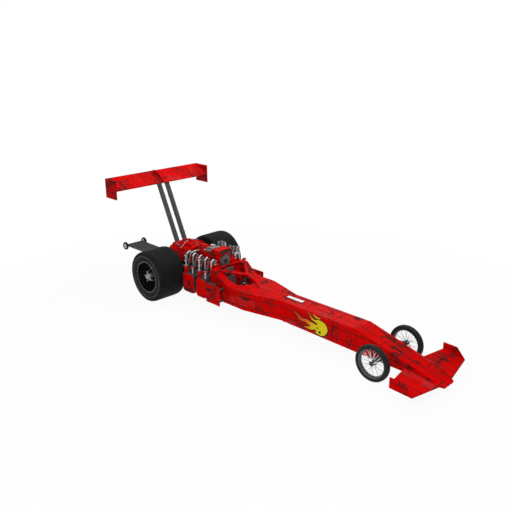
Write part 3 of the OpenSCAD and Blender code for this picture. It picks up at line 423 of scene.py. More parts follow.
class Kit:
    """Collects many small parts into one mesh."""

    def __init__(self):
        self.work = bmesh.new()

    def loops(self, rings, matrix, sides):
        """Loops of points about local Z, one for each (height, radius)."""
        return [[self.work.verts.new(matrix @ polar(radius, math.tau * i / sides,
                                                    height)) for i in range(sides)]
                for height, radius in rings]

    def bridge(self, low, high):
        """The faces between two loops."""
        for i in range(len(low)):
            j = (i + 1) % len(low)
            self.work.faces.new((low[i], low[j], high[j], high[i]))

    def cap(self, first, last):
        """The faces that close the two ends of a row of loops."""
        self.work.faces.new(list(reversed(first)))
        self.work.faces.new(last)

    def rod(self, a, b, r, sides=12, r2=None, bevel=0.0):
        """A round rod from a to b, tapered to r2, with chamfered ends."""
        a, b = Vector(a), Vector(b)
        length = (b - a).length
        r2 = r if r2 is None else r2
        bevel = min(bevel, length * 0.4)
        if bevel:
            rings = [(0, r - bevel), (bevel, r), (length - bevel, r2), (length, r2 - bevel)]
        else:
            rings = [(0, r), (length, r2)]
        return self.turned(rings, along_axis(b - a, a), sides)

    def turned(self, rings, matrix, sides=24, capped=True):
        """A form turned about local Z from (height, radius) rings."""
        loops = self.loops(rings, matrix, sides)
        for low, high in zip(loops, loops[1:]):
            self.bridge(low, high)
        if capped:
            self.cap(loops[0], loops[-1])
        return self

    def box(self, low, high, bevel=0.0, matrix=None):
        """A block between two corners, with chamfered edges."""
        made = bmesh.ops.create_cube(self.work, size=1.0)["verts"]
        low, high = Vector(low), Vector(high)
        size = high - low
        for v in made:
            v.co = v.co * size + (low + high) / 2
        if matrix is not None:
            bmesh.ops.transform(self.work, matrix=matrix, verts=made)
        if bevel:
            edges = list({e for v in made for e in v.link_edges})
            bmesh.ops.bevel(self.work, geom=edges, offset=bevel, segments=2, affect="EDGES", profile=0.6)
        return self

    def plate(self, outline, depth, matrix, holes=()):
        """A flat plate: an outline in local XY, pushed out along local Z."""
        points = [*outline, *[p for hole in holes for p in hole]]
        top = [self.work.verts.new(matrix @ Vector((x, y, depth))) for x, y in points]
        low = [self.work.verts.new(matrix @ Vector((x, y, 0))) for x, y in points]
        for face in plan(outline, holes):
            self.work.faces.new([top[i] for i in face])
            self.work.faces.new([low[i] for i in reversed(face)])
        start = 0
        for ring in (outline, *holes):
            end = start + len(ring)
            self.bridge(low[start:end], top[start:end])
            start = end
        return self

    def bolt(self, at, along, size):
        """A hexagon bolt head on its washer."""
        turn = along_axis(Vector(along).normalized(), at)
        self.turned([(0, size), (size * 0.16, size)], turn, 14)
        return self.turned([(0, size * 0.80), (size * 0.55, size * 0.80), (size * 0.72, size * 0.62)], turn,
                           6)

    def rivet(self, at, along, size, sunk=0.0004):
        """A low round rivet head, sunk a little into its sheet."""
        along = Vector(along).normalized()
        rings = [(0, size), (size * 0.30, size * 0.88), (size * 0.52, size * 0.5), (size * 0.6, size * 0.1)]
        return self.turned(rings, along_axis(along, Vector(at) - along * sunk), 8)

    def tube(self, points, r, sides=10, closed=False):
        """A round tube along a line of points."""
        points = [Vector(p) for p in points]
        loops, up = [], None
        count = len(points)
        for i, p in enumerate(points):
            before = points[i - 1] if i or closed else p
            after = points[(i + 1) % count] if i < count - 1 or closed else p
            ahead = (after - before).normalized()
            if up is None:
                up = ahead.orthogonal().normalized()
            up = (up - ahead * up.dot(ahead)).normalized()
            across = ahead.cross(up)
            loops.append([self.work.verts.new(p + (up * math.cos(t) + across * math.sin(t)) * r)
                          for t in (math.tau * k / sides for k in range(sides))])
        pairs = list(zip(loops, loops[1:]))
        if closed:
            pairs.append((loops[-1], loops[0]))
        for low, high in pairs:
            self.bridge(low, high)
        if not closed:
            self.cap(loops[0], loops[-1])
        return self

    def strip(self, points, normals, width, thick):
        """A flat strap along a line of points; normals say which way its face looks."""
        points, normals = [Vector(p) for p in points], [Vector(n).normalized() for n in normals]
        rows = []
        for i, p in enumerate(points):
            ahead = (points[min(i + 1, len(points) - 1)] - points[max(i - 1, 0)]).normalized()
            out = normals[i]
            across = ahead.cross(out).normalized() * width / 2
            rows.append([self.work.verts.new(q) for q in
                         (p - across, p - across * 0.92 + out * thick, p + across * 0.92 + out * thick,
                          p + across)])
        for a, b in zip(rows, rows[1:]):
            for k in range(4):
                n = (k + 1) % 4
                self.work.faces.new((a[k], b[k], b[n], a[n]))
        self.work.faces.new(rows[0])
        self.work.faces.new(list(reversed(rows[-1])))
        return self

    def done(self, name, material, body="chassis", slot=None, smooth=True, replaces=(), mirror=False):
        """One piece from all that was collected, repeated on the other side if mirror is set."""
        if mirror:
            made = bmesh.ops.duplicate(self.work,
                                       geom=self.work.verts[:] + self.work.edges[:] + self.work.faces[:])
            for v in [g for g in made["geom"] if isinstance(g, bmesh.types.BMVert)]:
                v.co.x = -v.co.x
            bmesh.ops.reverse_faces(self.work,
                                    faces=[g for g in made["geom"] if isinstance(g, bmesh.types.BMFace)])
        mesh = bpy.data.meshes.new(name)
        self.work.to_mesh(mesh)
        self.work.free()
        return finished(name, mesh, material, body, smooth, replaces)


def plan(outline, holes=()):
    """Triangles that fill an outline, less its holes."""
    loops = [[Vector((x, y, 0)) for x, y in ring] for ring in (outline, *holes)]
    return [tuple(tri) for tri in tessellate_polygon(loops)]


def ring_points(x, y, r, count=16):
    """A circle as an outline."""
    return [(x + r * math.cos(math.tau * i / count),
             y + r * math.sin(math.tau * i / count)) for i in range(count)]


def spline(a, b, c, d, u):
    """The point a share u of the way from b to c, on a smooth curve through all four."""
    return 0.5 * ((2 * b) + (c - a) * u + (2 * a - 5 * b + 4 * c - d) * u * u
                  + (3 * b - a - 3 * c + d) * u ** 3)


def smooth_line(points, count):
    """Points on one smooth curve through the given ones."""
    points = [Vector(p) for p in points]
    ends = [points[0] * 2 - points[1], *points, points[-1] * 2 - points[-2]]
    out = []
    for i in range(count):
        t = i * (len(points) - 1) / (count - 1)
        k = min(int(t), len(points) - 2)
        out.append(spline(*ends[k:k + 4], t - k))
    return out


def wheel_frame(side, at):
    """A frame at a wheel's centre whose local Z points outwards."""
    return Matrix.Translation(Vector(at)) @ Matrix.Rotation(math.radians(90) * side, 4, "Y")


def side_plane(x):
    """A frame whose local X runs towards the tail and local Y upwards, with Z pointing left."""
    return Matrix(((0, 0, 1, x), (1, 0, 0, 0), (0, 1, 0, 0), (0, 0, 0, 1)))


def front_plane(y):
    """A frame whose local X runs to the left and local Y upwards, with Z towards the nose."""
    return Matrix(((1, 0, 0, 0), (0, 0, -1, y), (0, 1, 0, 0), (0, 0, 0, 1)))


def middle(node):
    """The centre of a CAD node's box."""
    low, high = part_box(node)
    return (low + high) / 2


def bolt_ring(kit, place, count, radius, height, along, size, start=0.0):
    """Bolts all round a circle about a frame's local Z."""
    for i in range(count):
        kit.bolt(place @ polar(radius, math.tau * (i + start) / count, height), along, size)


def all_done(*rows, mirror=False):
    """Makes pieces on the chassis from several kits, each with its name, kit, finish and slot."""
    for name, kit, finish, slot in rows:
        kit.done(name, finish, "chassis", slot, mirror=mirror)


# Each CAD node's slot, then each finish with the width of its softened edges and its nodes
SLOT = {piece["node"]: piece["material_slot"] for piece in frame["record"]["subparts"]}
FINISH = {
    "red": (0.0035, ["nose_cone", "front_wing", "front_end_plates", "fore_body", "cowl", "belly_pan",
                     "cockpit_side_left", "cockpit_side_right", "seat", "rear_bulkhead", "rear_cover",
                     "intake_manifold",
                     "rear_wing", "wing_plates", "side_plates", "air_scoop", "valve_covers", "pipe_collars",
                     "head_guard", "blower"]),
    "dark": (0.002, ["frame_rails", "wing_struts", "wheelie_truss", "steering_column", "rear_axle_housing",
                     "gearbox", "front_axle", "tie_rod", "knuckle_left", "knuckle_right", "side_pods"]),
    "grimy": (0.0025, ["engine_block", "cylinder_heads"]),
    "cast": (0.0025, ["blower_drive"]),
    "machined": (0.002, ["rear_axle_shaft"]),
    "black_gloss": (0.002, ["rear_rim_left", "rear_rim_right"]),
    "chrome": (0.0, ["exhaust_pipes"]),
}


def soften(node, material, width):
    """A copy of a CAD node with rounded edges and clean shading, in the node's place."""
    source = NODES[node]
    mesh = source.data.copy()
    mesh.name = node + "_finish"
    mesh.materials.clear()
    work = bmesh.new()
    work.from_mesh(mesh)
    bmesh.ops.remove_doubles(work, verts=work.verts, dist=1e-5)
    bmesh.ops.dissolve_limit(work, angle_limit=math.radians(0.6), verts=work.verts, edges=work.edges)
    bmesh.ops.recalc_face_normals(work, faces=work.faces)
    work.to_mesh(mesh)
    work.free()
    piece = bpy.data.objects.new(node + "_finish", mesh)
    bpy.context.scene.collection.objects.link(piece)
    mesh.materials.append(MAT[material])
    mesh.shade_smooth()
    mesh.set_sharp_from_angle(angle=math.radians(32))
    if width:
        bevel = piece.modifiers.new("edges", "BEVEL")
        bevel.width, bevel.segments, bevel.limit_method = width, 2, "ANGLE"
        bevel.angle_limit = math.radians(32)
        bevel.harden_normals = True
        bevel.use_clamp_overlap = True
        trim = piece.modifiers.new("shading", "WEIGHTED_NORMAL")
        trim.keep_sharp = True
    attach(piece, source["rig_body"])
    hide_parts(node)
    return piece


for finish, (width, nodes) in FINISH.items():
    for node in nodes:
        soften(node, finish, width)

# ---------------------------------------------------------------- wheels

TURN = [math.tau * i / 5 for i in range(5)]


def lathe(kit, outline, matrix, sides=96):
    """A closed ring turned about local Z from (height, radius) points."""
    loops = kit.loops(outline, matrix, sides)
    for low, high in zip(loops, loops[1:] + loops[:1]):
        kit.bridge(low, high)


def both_flanks(near):
    """Half an outline, up to the wheel's middle plane, and its mirror image."""
    return near + [(-t, r) for t, r in reversed(near[:-1])]


def rear_tyre(side):
    """The slick with the ribs of its bead, and the rings on its side wall."""
    node = "rear_tyre_" + SIDES[side]
    low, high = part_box(node)
    r, half, drawn_r = (high.z - low.z) / 2, (high.x - low.x) / 2, 0.465
    place = wheel_frame(side, middle(node))
    kit = Kit()
    wall = [(0.452, -0.96), (0.4575, -0.905), (0.4625, -0.82), (0.4645, -0.70), (0.4650, -0.30),
            (0.4650, 0.0)]
    inner = [(0.2835, -0.925), (0.2885, -0.955), (0.300, -0.962), (0.306, -0.985), (0.311, -0.985),
             (0.3135, -0.968),
             (0.333, -0.988), (0.3365, -0.997), (0.3405, -0.997), (0.344, -0.990), (0.372, -1.0),
             (0.403, -0.999),
             (0.4065, -1.0), (0.4105, -1.0), (0.414, -0.994), (0.436, -0.984)]
    lathe(kit, both_flanks([(t * half, radius * r / drawn_r) for radius, t in inner + wall]), place, 128)
    kit.done(node + "_slick", "tyre", "rear_wheelset", "tyre", replaces=[node])
    kit = Kit()
    for radius, wide in ((0.3225, 0.006), (0.4085, 0.0025)):
        lathe(kit, [(half * 0.9785, radius - wide), (half * 0.998, radius - wide * 0.8),
                    (half * 0.998, radius + wide * 0.8), (half * 0.9785, radius + wide)], place)
    lathe(kit, [(half * 0.986, 0.3465), (half + 0.0008, 0.3720), (half + 0.0008, 0.4020),
                (half * 0.990, 0.4035)],
          place)
    kit.done(node + "_wall_rings", "wall_ring", "rear_wheelset", "tyre")


def rear_rim_trim(side):
    """Bead ring and its bolts, the light spokes and the hub deep in the dish."""
    node = "rear_rim_" + SIDES[side]
    low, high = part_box(node)
    centre = middle(node)
    frame_at = wheel_frame(side, (0, centre.y, centre.z))
    outer = max(abs(low.x), abs(high.x))
    kit = Kit()
    lathe(kit, [(outer - 0.012, 0.2705), (outer + 0.001, 0.2700), (outer + 0.006, 0.2745),
                (outer + 0.0062, 0.2925),
                (outer + 0.0025, 0.2975), (outer - 0.008, 0.2965), (outer - 0.010, 0.2830)], frame_at, 96)
    lathe(kit, [(outer - 0.100, 0.2712), (outer - 0.100, 0.2665), (outer - 0.088, 0.2655),
                (outer - 0.076, 0.2665),
                (outer - 0.076, 0.2712)], frame_at, 96)
    kit.done(node + "_bead_ring", "bright_lip", "rear_wheelset", "rim_black")
    kit = Kit()
    bolt_ring(kit, frame_at, 24, 0.2845, outer + 0.0058, (side, 0, 0), 0.0052, 0.5)
    kit.done(node + "_bead_bolts", "steel", "rear_wheelset", "rim_black")
    face, nut_r = 0.6415, 0.076  # the spokes' distance from the centre plane, the circle of the wheel nuts
    kit = Kit()
    for t in TURN:
        turn = frame_at @ Matrix.Rotation(t, 4, "Z")
        for lean in (-1, 1):
            a, b = Vector((0.070, lean * 0.020, face + 0.012)), Vector((0.262, lean * 0.052, face + 0.004))
            kit.rod(turn @ a, turn @ b, 0.0125, 10, 0.0095, 0.003)
        outline = [(0.080, -0.018), (0.150, -0.024), (0.262, -0.040), (0.266, 0.0), (0.262, 0.040),
                   (0.150, 0.024),
                   (0.080, 0.018)]
        kit.plate(outline, 0.005, turn @ Matrix.Translation((0, 0, face - 0.0005)),
                  holes=[ring_points(0.135, 0, 0.010, 14), ring_points(0.185, 0, 0.014, 14),
                         ring_points(0.234, 0, 0.016, 14)])
    kit.turned([(face - 0.001, 0.094), (face + 0.008, 0.094), (face + 0.012, 0.088), (face + 0.018, 0.086),
                (face + 0.022, 0.060), (face + 0.052, 0.058), (face + 0.060, 0.050), (face + 0.062, 0.030),
                (face + 0.070, 0.028), (face + 0.074, 0.020)], frame_at, 40)
    nose = outer - 0.004
    kit.turned([(face + 0.050, 0.050), (nose - 0.055, 0.046), (nose - 0.050, 0.060), (nose - 0.034, 0.060),
                (nose - 0.030, 0.046), (nose - 0.012, 0.044), (nose, 0.034), (nose + 0.002, 0.010)], frame_at,
               40)
    for t in TURN:
        turn = frame_at @ Matrix.Rotation(t + 0.3, 4, "Z")
        kit.box((0.040, -0.011, nose - 0.050), (0.098, 0.011, nose - 0.034), 0.003, turn)
        kit.rod(turn @ Vector((0.088, 0, nose - 0.060)), turn @ Vector((0.088, 0, nose - 0.024)), 0.0125, 12,
                bevel=0.003)
        kit.rod(turn @ Vector((0.088, 0, nose - 0.042)), turn @ Vector((0.176, 0, face + 0.012)), 0.0075, 10)
    kit.done(node + "_spokes", "pale_alloy", "rear_wheelset", "rim_black")
    kit = Kit()
    for i in range(10):
        t = math.tau * i / 10
        kit.bolt(frame_at @ polar(nut_r, t, face + 0.0175), (side, 0, 0), 0.0095)
        kit.rod(frame_at @ polar(nut_r, t, face + 0.02), frame_at @ polar(nut_r, t, face + 0.034), 0.0048, 8)
    for t in TURN:
        for radius in (0.112, 0.252):
            kit.bolt(frame_at @ Matrix.Rotation(t, 4, "Z") @ Vector((radius, 0, face + 0.004)), (side, 0, 0),
                     0.0068)
    kit.done(node + "_nuts", "steel", "rear_wheelset", "rim_black")


def rear_brake(side):
    """Drilled disc on the axle and its hub, inboard of the wheel."""
    kit = Kit()
    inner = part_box("rear_tyre_left")[0].x - 0.029
    frame_at = wheel_frame(side, (0, REAR_Y, middle("rear_rim_left").z))
    lathe(kit, [(inner, 0.070), (inner, 0.158), (inner + 0.0025, 0.160), (inner + 0.0075, 0.160),
                (inner + 0.010, 0.158), (inner + 0.010, 0.070)], frame_at, 64)
    kit.turned([(inner - 0.003, 0.031), (inner - 0.003, 0.068), (inner + 0.013, 0.068),
                (inner + 0.017, 0.050),
                (inner + 0.017, 0.031)], frame_at, 32, False)
    for i in range(24):
        t = math.tau * i / 24
        for radius in (0.108 + 0.012 * (i % 3), 0.142):
            kit.rivet(frame_at @ polar(radius, t, inner + 0.0102), (side, 0, 0), 0.0035)
    kit.done("brake_disc_" + SIDES[side], "steel", "rear_wheelset", "bright_metal")


def front_tyre(side):
    """The narrow front tyre with two grooves in its tread."""
    node = "front_tyre_" + SIDES[side]
    low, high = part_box(node)
    r, half, drawn_r = (high.z - low.z) / 2, (high.x - low.x) / 2, 0.274
    kit = Kit()
    near = [(-0.60, 0.2095), (-0.70, 0.2150), (-0.74, 0.2200), (-0.86, 0.2270), (-0.90, 0.2290),
            (-0.985, 0.2390),
            (-1.0, 0.2460), (-0.992, 0.2540), (-0.93, 0.2625), (-0.80, 0.2685), (-0.62, 0.2716),
            (-0.50, 0.2726),
            (-0.47, 0.2708), (-0.43, 0.2708), (-0.40, 0.2731), (-0.10, 0.2740), (-0.06, 0.2722),
            (0.0, 0.2722)]
    near = [(t * half, radius * r / drawn_r) for t, radius in near]
    lathe(kit, both_flanks(near), wheel_frame(side, middle(node)), 112)
    kit.done(node + "_thin", "small_tyre", "front_wheel_" + SIDES[side], "tyre", replaces=[node])


def front_rim(side):
    """Hoop, crossed wire spokes with their nipples, and the hub."""
    node = "front_rim_" + SIDES[side]
    body = "front_wheel_" + SIDES[side]
    at = wheel_frame(side, middle("front_tyre_" + SIDES[side]))
    hoop = Kit()
    near = [(-0.0345, 0.2150), (-0.0345, 0.2185), (-0.0320, 0.2190), (-0.0300, 0.2140), (-0.0270, 0.2095),
            (-0.0120, 0.2085), (0.0, 0.2085)]
    low = [(0.0, 0.1940), (-0.0100, 0.1950), (-0.0180, 0.2020), (-0.0280, 0.2035), (-0.0320, 0.2090)]
    lathe(hoop, both_flanks(near) + [(-t, r) for t, r in reversed(low[1:])] + low, at)
    hoop.done(node + "_hoop", "hoop_alloy", body, "bright_metal", replaces=[node])
    wires, nipples = Kit(), Kit()
    count = 24
    for i in range(count):
        t = math.tau * i / count
        flank = 1 if i % 2 else -1
        lean = 0.13 if (i // 2) % 2 else -0.13
        hub = polar(0.0325, t + lean * 3.0, flank * 0.026)
        rim = polar(0.1965, t, flank * 0.004)
        wires.rod(at @ hub, at @ rim, 0.0042, 8)
        inner = rim + (hub - rim).normalized() * 0.020
        nipples.rod(at @ rim, at @ inner, 0.0052, 8, 0.0040, 0.001)
        nipples.rod(at @ hub, at @ (hub + (rim - hub).normalized() * 0.010), 0.0050, 8, 0.0038)
    wires.done(node + "_spokes", "wire", body, "bright_metal")
    nipples.done(node + "_nipples", "steel", body, "bright_metal")
    hub = Kit()
    reach = 0.035
    hub.turned([(-reach, 0.0145), (-reach, 0.030), (-reach + 0.004, 0.0365), (-0.026, 0.0370),
                (-0.022, 0.0330),
                (-0.018, 0.026), (0.0, 0.0235), (0.018, 0.026), (0.022, 0.0330), (0.026, 0.0370),
                (reach - 0.004, 0.0365), (reach, 0.030), (reach, 0.0145)], at, 36, False)
    hub.turned([(reach - 0.001, 0.0235), (reach + 0.003, 0.0235), (reach + 0.0045, 0.0205),
                (reach + 0.0050, 0.006)],
               at, 28)
    bolt_ring(hub, at, 6, 0.0265, reach - 0.0005, (side, 0, 0), 0.0030)
    hub.done(node + "_hub", "dark", body, "bright_metal")


def wheelie_wheels():
    """Tyres, hubs and axle of the two small wheels at the end of the truss."""
    node = "wheelie_wheels"
    low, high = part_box(node)
    centre = middle(node)
    tyres, hubs = Kit(), Kit()
    hubs.rod((low.x + 0.002, centre.y, centre.z), (high.x - 0.002, centre.y, centre.z), 0.0098, 16)
    for side in (RIGHT, LEFT):
        at = wheel_frame(side, (side * (high.x - 0.025), centre.y, centre.z))
        near = [(-0.0150, 0.046), (-0.0180, 0.050), (-0.0225, 0.056), (-0.0230, 0.064), (-0.0205, 0.0735),
                (-0.0150, 0.0785), (-0.0060, 0.0800), (0.0, 0.0800)]
        lathe(tyres, both_flanks(near), at, 56)
        hubs.turned([(-0.019, 0.012), (-0.019, 0.022), (-0.006, 0.025), (-0.006, 0.042), (-0.0165, 0.0445),
                     (-0.0165, 0.0475), (0.0165, 0.0475), (0.0165, 0.0445), (0.006, 0.042), (0.006, 0.025),
                     (0.019, 0.022), (0.0215, 0.018), (0.0215, 0.004)], at, 40)
        bolt_ring(hubs, at, 5, 0.034, 0.0055, (side, 0, 0), 0.0035)
    tyres.done("wheelie_tyres", "small_tyre", "wheelie_wheelset", SLOT[node], replaces=[node])
    hubs.done("wheelie_hubs", "machined", "wheelie_wheelset", SLOT[node])


for side in (LEFT, RIGHT):
    rear_tyre(side)
    rear_rim_trim(side)
    rear_brake(side)
    front_tyre(side)
    front_rim(side)
wheelie_wheels()

# ---------------------------------------------------------------- engine


def y_at(y):
    """A place along the car that is counted from the rear axle."""
    return y + REAR_Y


# The upright stacks (place along the car and top), the ports of the arched pipes, and the pipes' skin
STACKS = {"tall": [(-0.535, 0.908), (-0.905, 0.918)], "short": [(-0.720, 0.735), (-1.062, 0.735)]}
PORTS = [-0.392 - 0.166 * i for i in range(5)]
STACK_X, SKIN_R = 0.470, 0.0262


def pipe_trim():
    """Caps, clamps, weld beads and flange bolts of the exhaust."""
    caps, beads, bolts, bore_shades = Kit(), Kit(), Kit(), Kit()
    for name, rows in STACKS.items():
        for y, top in rows:
            at = Matrix.Translation((STACK_X, y_at(y), 0))
            if name == "short":
                bolt_ring(bolts, at, 6, 0.0345, top - 0.014, (0, 0, 1), 0.0042)
                lathe(beads, [(0.592, SKIN_R), (0.592, 0.0290), (0.597, 0.0300), (0.602, 0.0290),
                              (0.602, SKIN_R)],
                      at, 28)
            else:
                foot = 0.587
                lathe(beads, [(top - 0.034, SKIN_R), (top - 0.034, 0.0292), (top - 0.030, 0.0300),
                              (top - 0.004, 0.0300), (top - 0.0005, 0.0286), (top - 0.0005, 0.0235),
                              (top - 0.020, 0.0232), (top - 0.020, SKIN_R)], at, 32)
                lathe(caps, [(foot - 0.001, SKIN_R), (foot - 0.001, 0.0390), (0.690, 0.0350), (0.698, 0.0330),
                             (0.698, SKIN_R)], at, 32)
                for height in (0.712, 0.800):
                    lathe(beads, [(height - 0.0075, 0.0261), (height - 0.0075, 0.0284),
                                  (height + 0.0075, 0.0284),
                                  (height + 0.0075, 0.0261)], at, 28)
                    bolts.rod(at @ Vector((0.024, -0.020, height)), at @ Vector((0.034, 0.012, height)),
                              0.0034, 8)
                bolt_ring(bolts, at, 6, 0.0345, foot, (0, 0, 1), 0.0042, 0.5)
            # A near-black disc down each bore: soot, and painted shade for the pipe's depth.
            bore_shades.turned([(top - 0.05, 0.0229), (top - 0.048, 0.0229)], at, 20)
    for y in PORTS:
        for x, z in ((0.322, 0.6215), (0.238, 0.7945)):
            at = Matrix.Translation((x, y_at(y), z))
            plate = [(-0.0005, 0.0262), (-0.0005, 0.0375), (0.0065, 0.0375), (0.0080, 0.0355),
                     (0.0080, 0.0262)]
            lathe(beads, plate, at, 24)
            lathe(beads, [(0.008, 0.0262), (0.0085, 0.0285), (0.0115, 0.0290), (0.0140, 0.0262)], at, 24)
            for t in (0.6, 2.55, 3.75, 5.7):
                bolts.bolt((x + 0.0325 * math.cos(t), y_at(y) + 0.0325 * math.sin(t), z + 0.008), (0, 0, 1),
                           0.0036)
        for t in (25, 90, 155):
            turn = Matrix.Translation((0.280, y_at(y), 0.832)) @ Matrix.Rotation(math.radians(-t), 4, "Y") \
                @ Matrix.Translation((0.042, 0, 0))
            lathe(beads, [(-0.0022, 0.0260), (-0.0012, 0.0272), (0.0012, 0.0272), (0.0022, 0.0260)], turn, 24)
    all_done(("stack_caps", caps, "red", "red_paint"), ("pipe_flanges", beads, "steel", "chrome"),
             ("pipe_bolts", bolts, "steel", "chrome"), ("soot_and_painted_shade", bore_shades, "soot_and_shade", "chrome"), mirror=True)


def branch_pipes():
    """On the left, six slim open pipes that branch upwards from the arches, each open end shown by a disc of
    painted shade.
    """
    pipes, bore_shades = Kit(), Kit()
    for leg, y, top in ((-0.890, -0.945, 0.955), (-0.890, -0.860, 0.940), (-0.724, -0.770, 0.930),
                        (-0.558, -0.615, 0.967), (-0.558, -0.540, 0.965), (-0.392, -0.455, 0.938)):
        path = smooth_line([(0.332, y_at(leg), 0.650), (0.362, y_at((leg + y) / 2), 0.668),
                            (0.384, y_at(y), 0.715),
                            (0.386, y_at(y), 0.780), (0.386, y_at(y), top)], 26)
        pipes.tube(path, 0.0185, 16)
        at = Matrix.Translation((0.386, y_at(y), 0))
        lathe(pipes, [(top - 0.012, 0.0182), (top - 0.012, 0.0215), (top + 0.001, 0.0215),
                      (top + 0.001, 0.0150),
                      (top - 0.0005, 0.0150)], at, 24)
        # A near-black disc on each capped end is painted shade for the open bore.
        bore_shades.turned([(top + 0.0012, 0.0158), (top + 0.0008, 0.004)], at, 20)
    all_done(("branch_pipes", pipes, "steel", "chrome"), ("branch_pipe_bore_shade", bore_shades, "soot_and_shade", "chrome"))


branch_pipes()


def cover_trim():
    """Fins, bolts, breathers and plug leads of the valve covers and heads."""
    low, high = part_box("valve_covers")
    red, steel, leads, boots = Kit(), Kit(), Kit(), Kit()
    span = high.y - low.y
    for i in range(5):
        x = 0.172 + 0.0145 * i
        red.box((x, low.y + 0.05, high.z - 0.002), (x + 0.006, high.y - 0.05, high.z + 0.0065), 0.0015)
    for i in range(9):
        y = low.y + 0.028 + (span - 0.056) * i / 8
        steel.bolt((0.3345, y, 0.7085), (0, 0, 1), 0.0062)
        steel.rod((0.3345, y, 0.699), (0.3345, y, 0.709), 0.0085, 10)
    for y in (low.y + 0.09, high.y - 0.09):
        red.turned([(high.z - 0.001, 0.024), (high.z + 0.020, 0.024), (high.z + 0.024, 0.021)],
                   Matrix.Translation((0.275, y, 0)), 20)
    for port in PORTS[1:]:
        y = y_at(port) + 0.083
        for lift in (0.0, 0.024):
            foot = Vector((0.3515, y - 0.018 + lift * 1.5, 0.648 + lift * 0.4))
            boots.rod(foot, foot + Vector((0.022, 0, 0.009)), 0.0085, 10, 0.0070, 0.002)
            line = smooth_line([foot + Vector((0.020, 0, 0.008)), foot + Vector((0.036, 0.004, 0.030)),
                                (0.358, y - 0.006 + lift, 0.716), (0.334, y + lift, 0.775),
                                (0.300, y + lift, 0.8195),
                                (0.262, y + lift * 0.8, 0.8205)], 18)
            leads.tube(line, 0.0040, 8)
    all_done(("cover_fins", red, "red", "red_paint"), ("cover_bolts", steel, "steel", "cast_grey"),
             ("plug_leads", leads, "lead", "dark_steel"), ("plug_boots", boots, "hose", "dark_steel"),
             mirror=True)


def blower_trim():
    """Ribs, end plate, top plate and bolts of the blower."""
    case = Kit()
    half = 0.118
    y0, y1 = y_at(-0.990), y_at(-0.614)
    for i in range(13):
        y = y0 + 0.012 + (y1 - y0 - 0.024) * i / 12
        for side in (LEFT, RIGHT):
            outline = [(side * (half - 0.004), 0.752), (side * (half + 0.012), 0.765),
                       (side * (half + 0.013), 0.870),
                       (side * (half - 0.002), 0.900), (side * (half - 0.014), 0.900)]
            case.plate(outline[::side], 0.0055, front_plane(y + 0.0028))
    case.box((-0.126, y1 - 0.004, 0.748), (0.126, y1 + 0.010, 0.908), 0.004)
    case.box((-0.124, y0 - 0.002, 0.9085), (0.124, y1 + 0.006, 0.9155), 0.002)
    case.done("blower_ribs", "red", "chassis", "red_paint")
    bolts = Kit()
    for i in range(9):
        y = y0 + 0.02 + (y1 - y0 - 0.04) * i / 8
        for x in (-0.1195, 0.1195):
            bolts.bolt((x, y, 0.9155), (0, 0, 1), 0.0055)
    for z in (0.765, 0.800, 0.860, 0.893):
        for x in (-0.112, 0.112, -0.045, 0.045):
            bolts.bolt((x, y1 + 0.0098, z), (0, 1, 0), 0.0055)
    for i in range(16):
        t = math.tau * i / 16
        bolts.bolt((0.123 * math.cos(t), y_at(-1.0305), 0.800 + 0.123 * math.sin(t)), (0, -1, 0), 0.0055)
    bolts.done("blower_bolts", "steel", "chassis", "cast_grey")


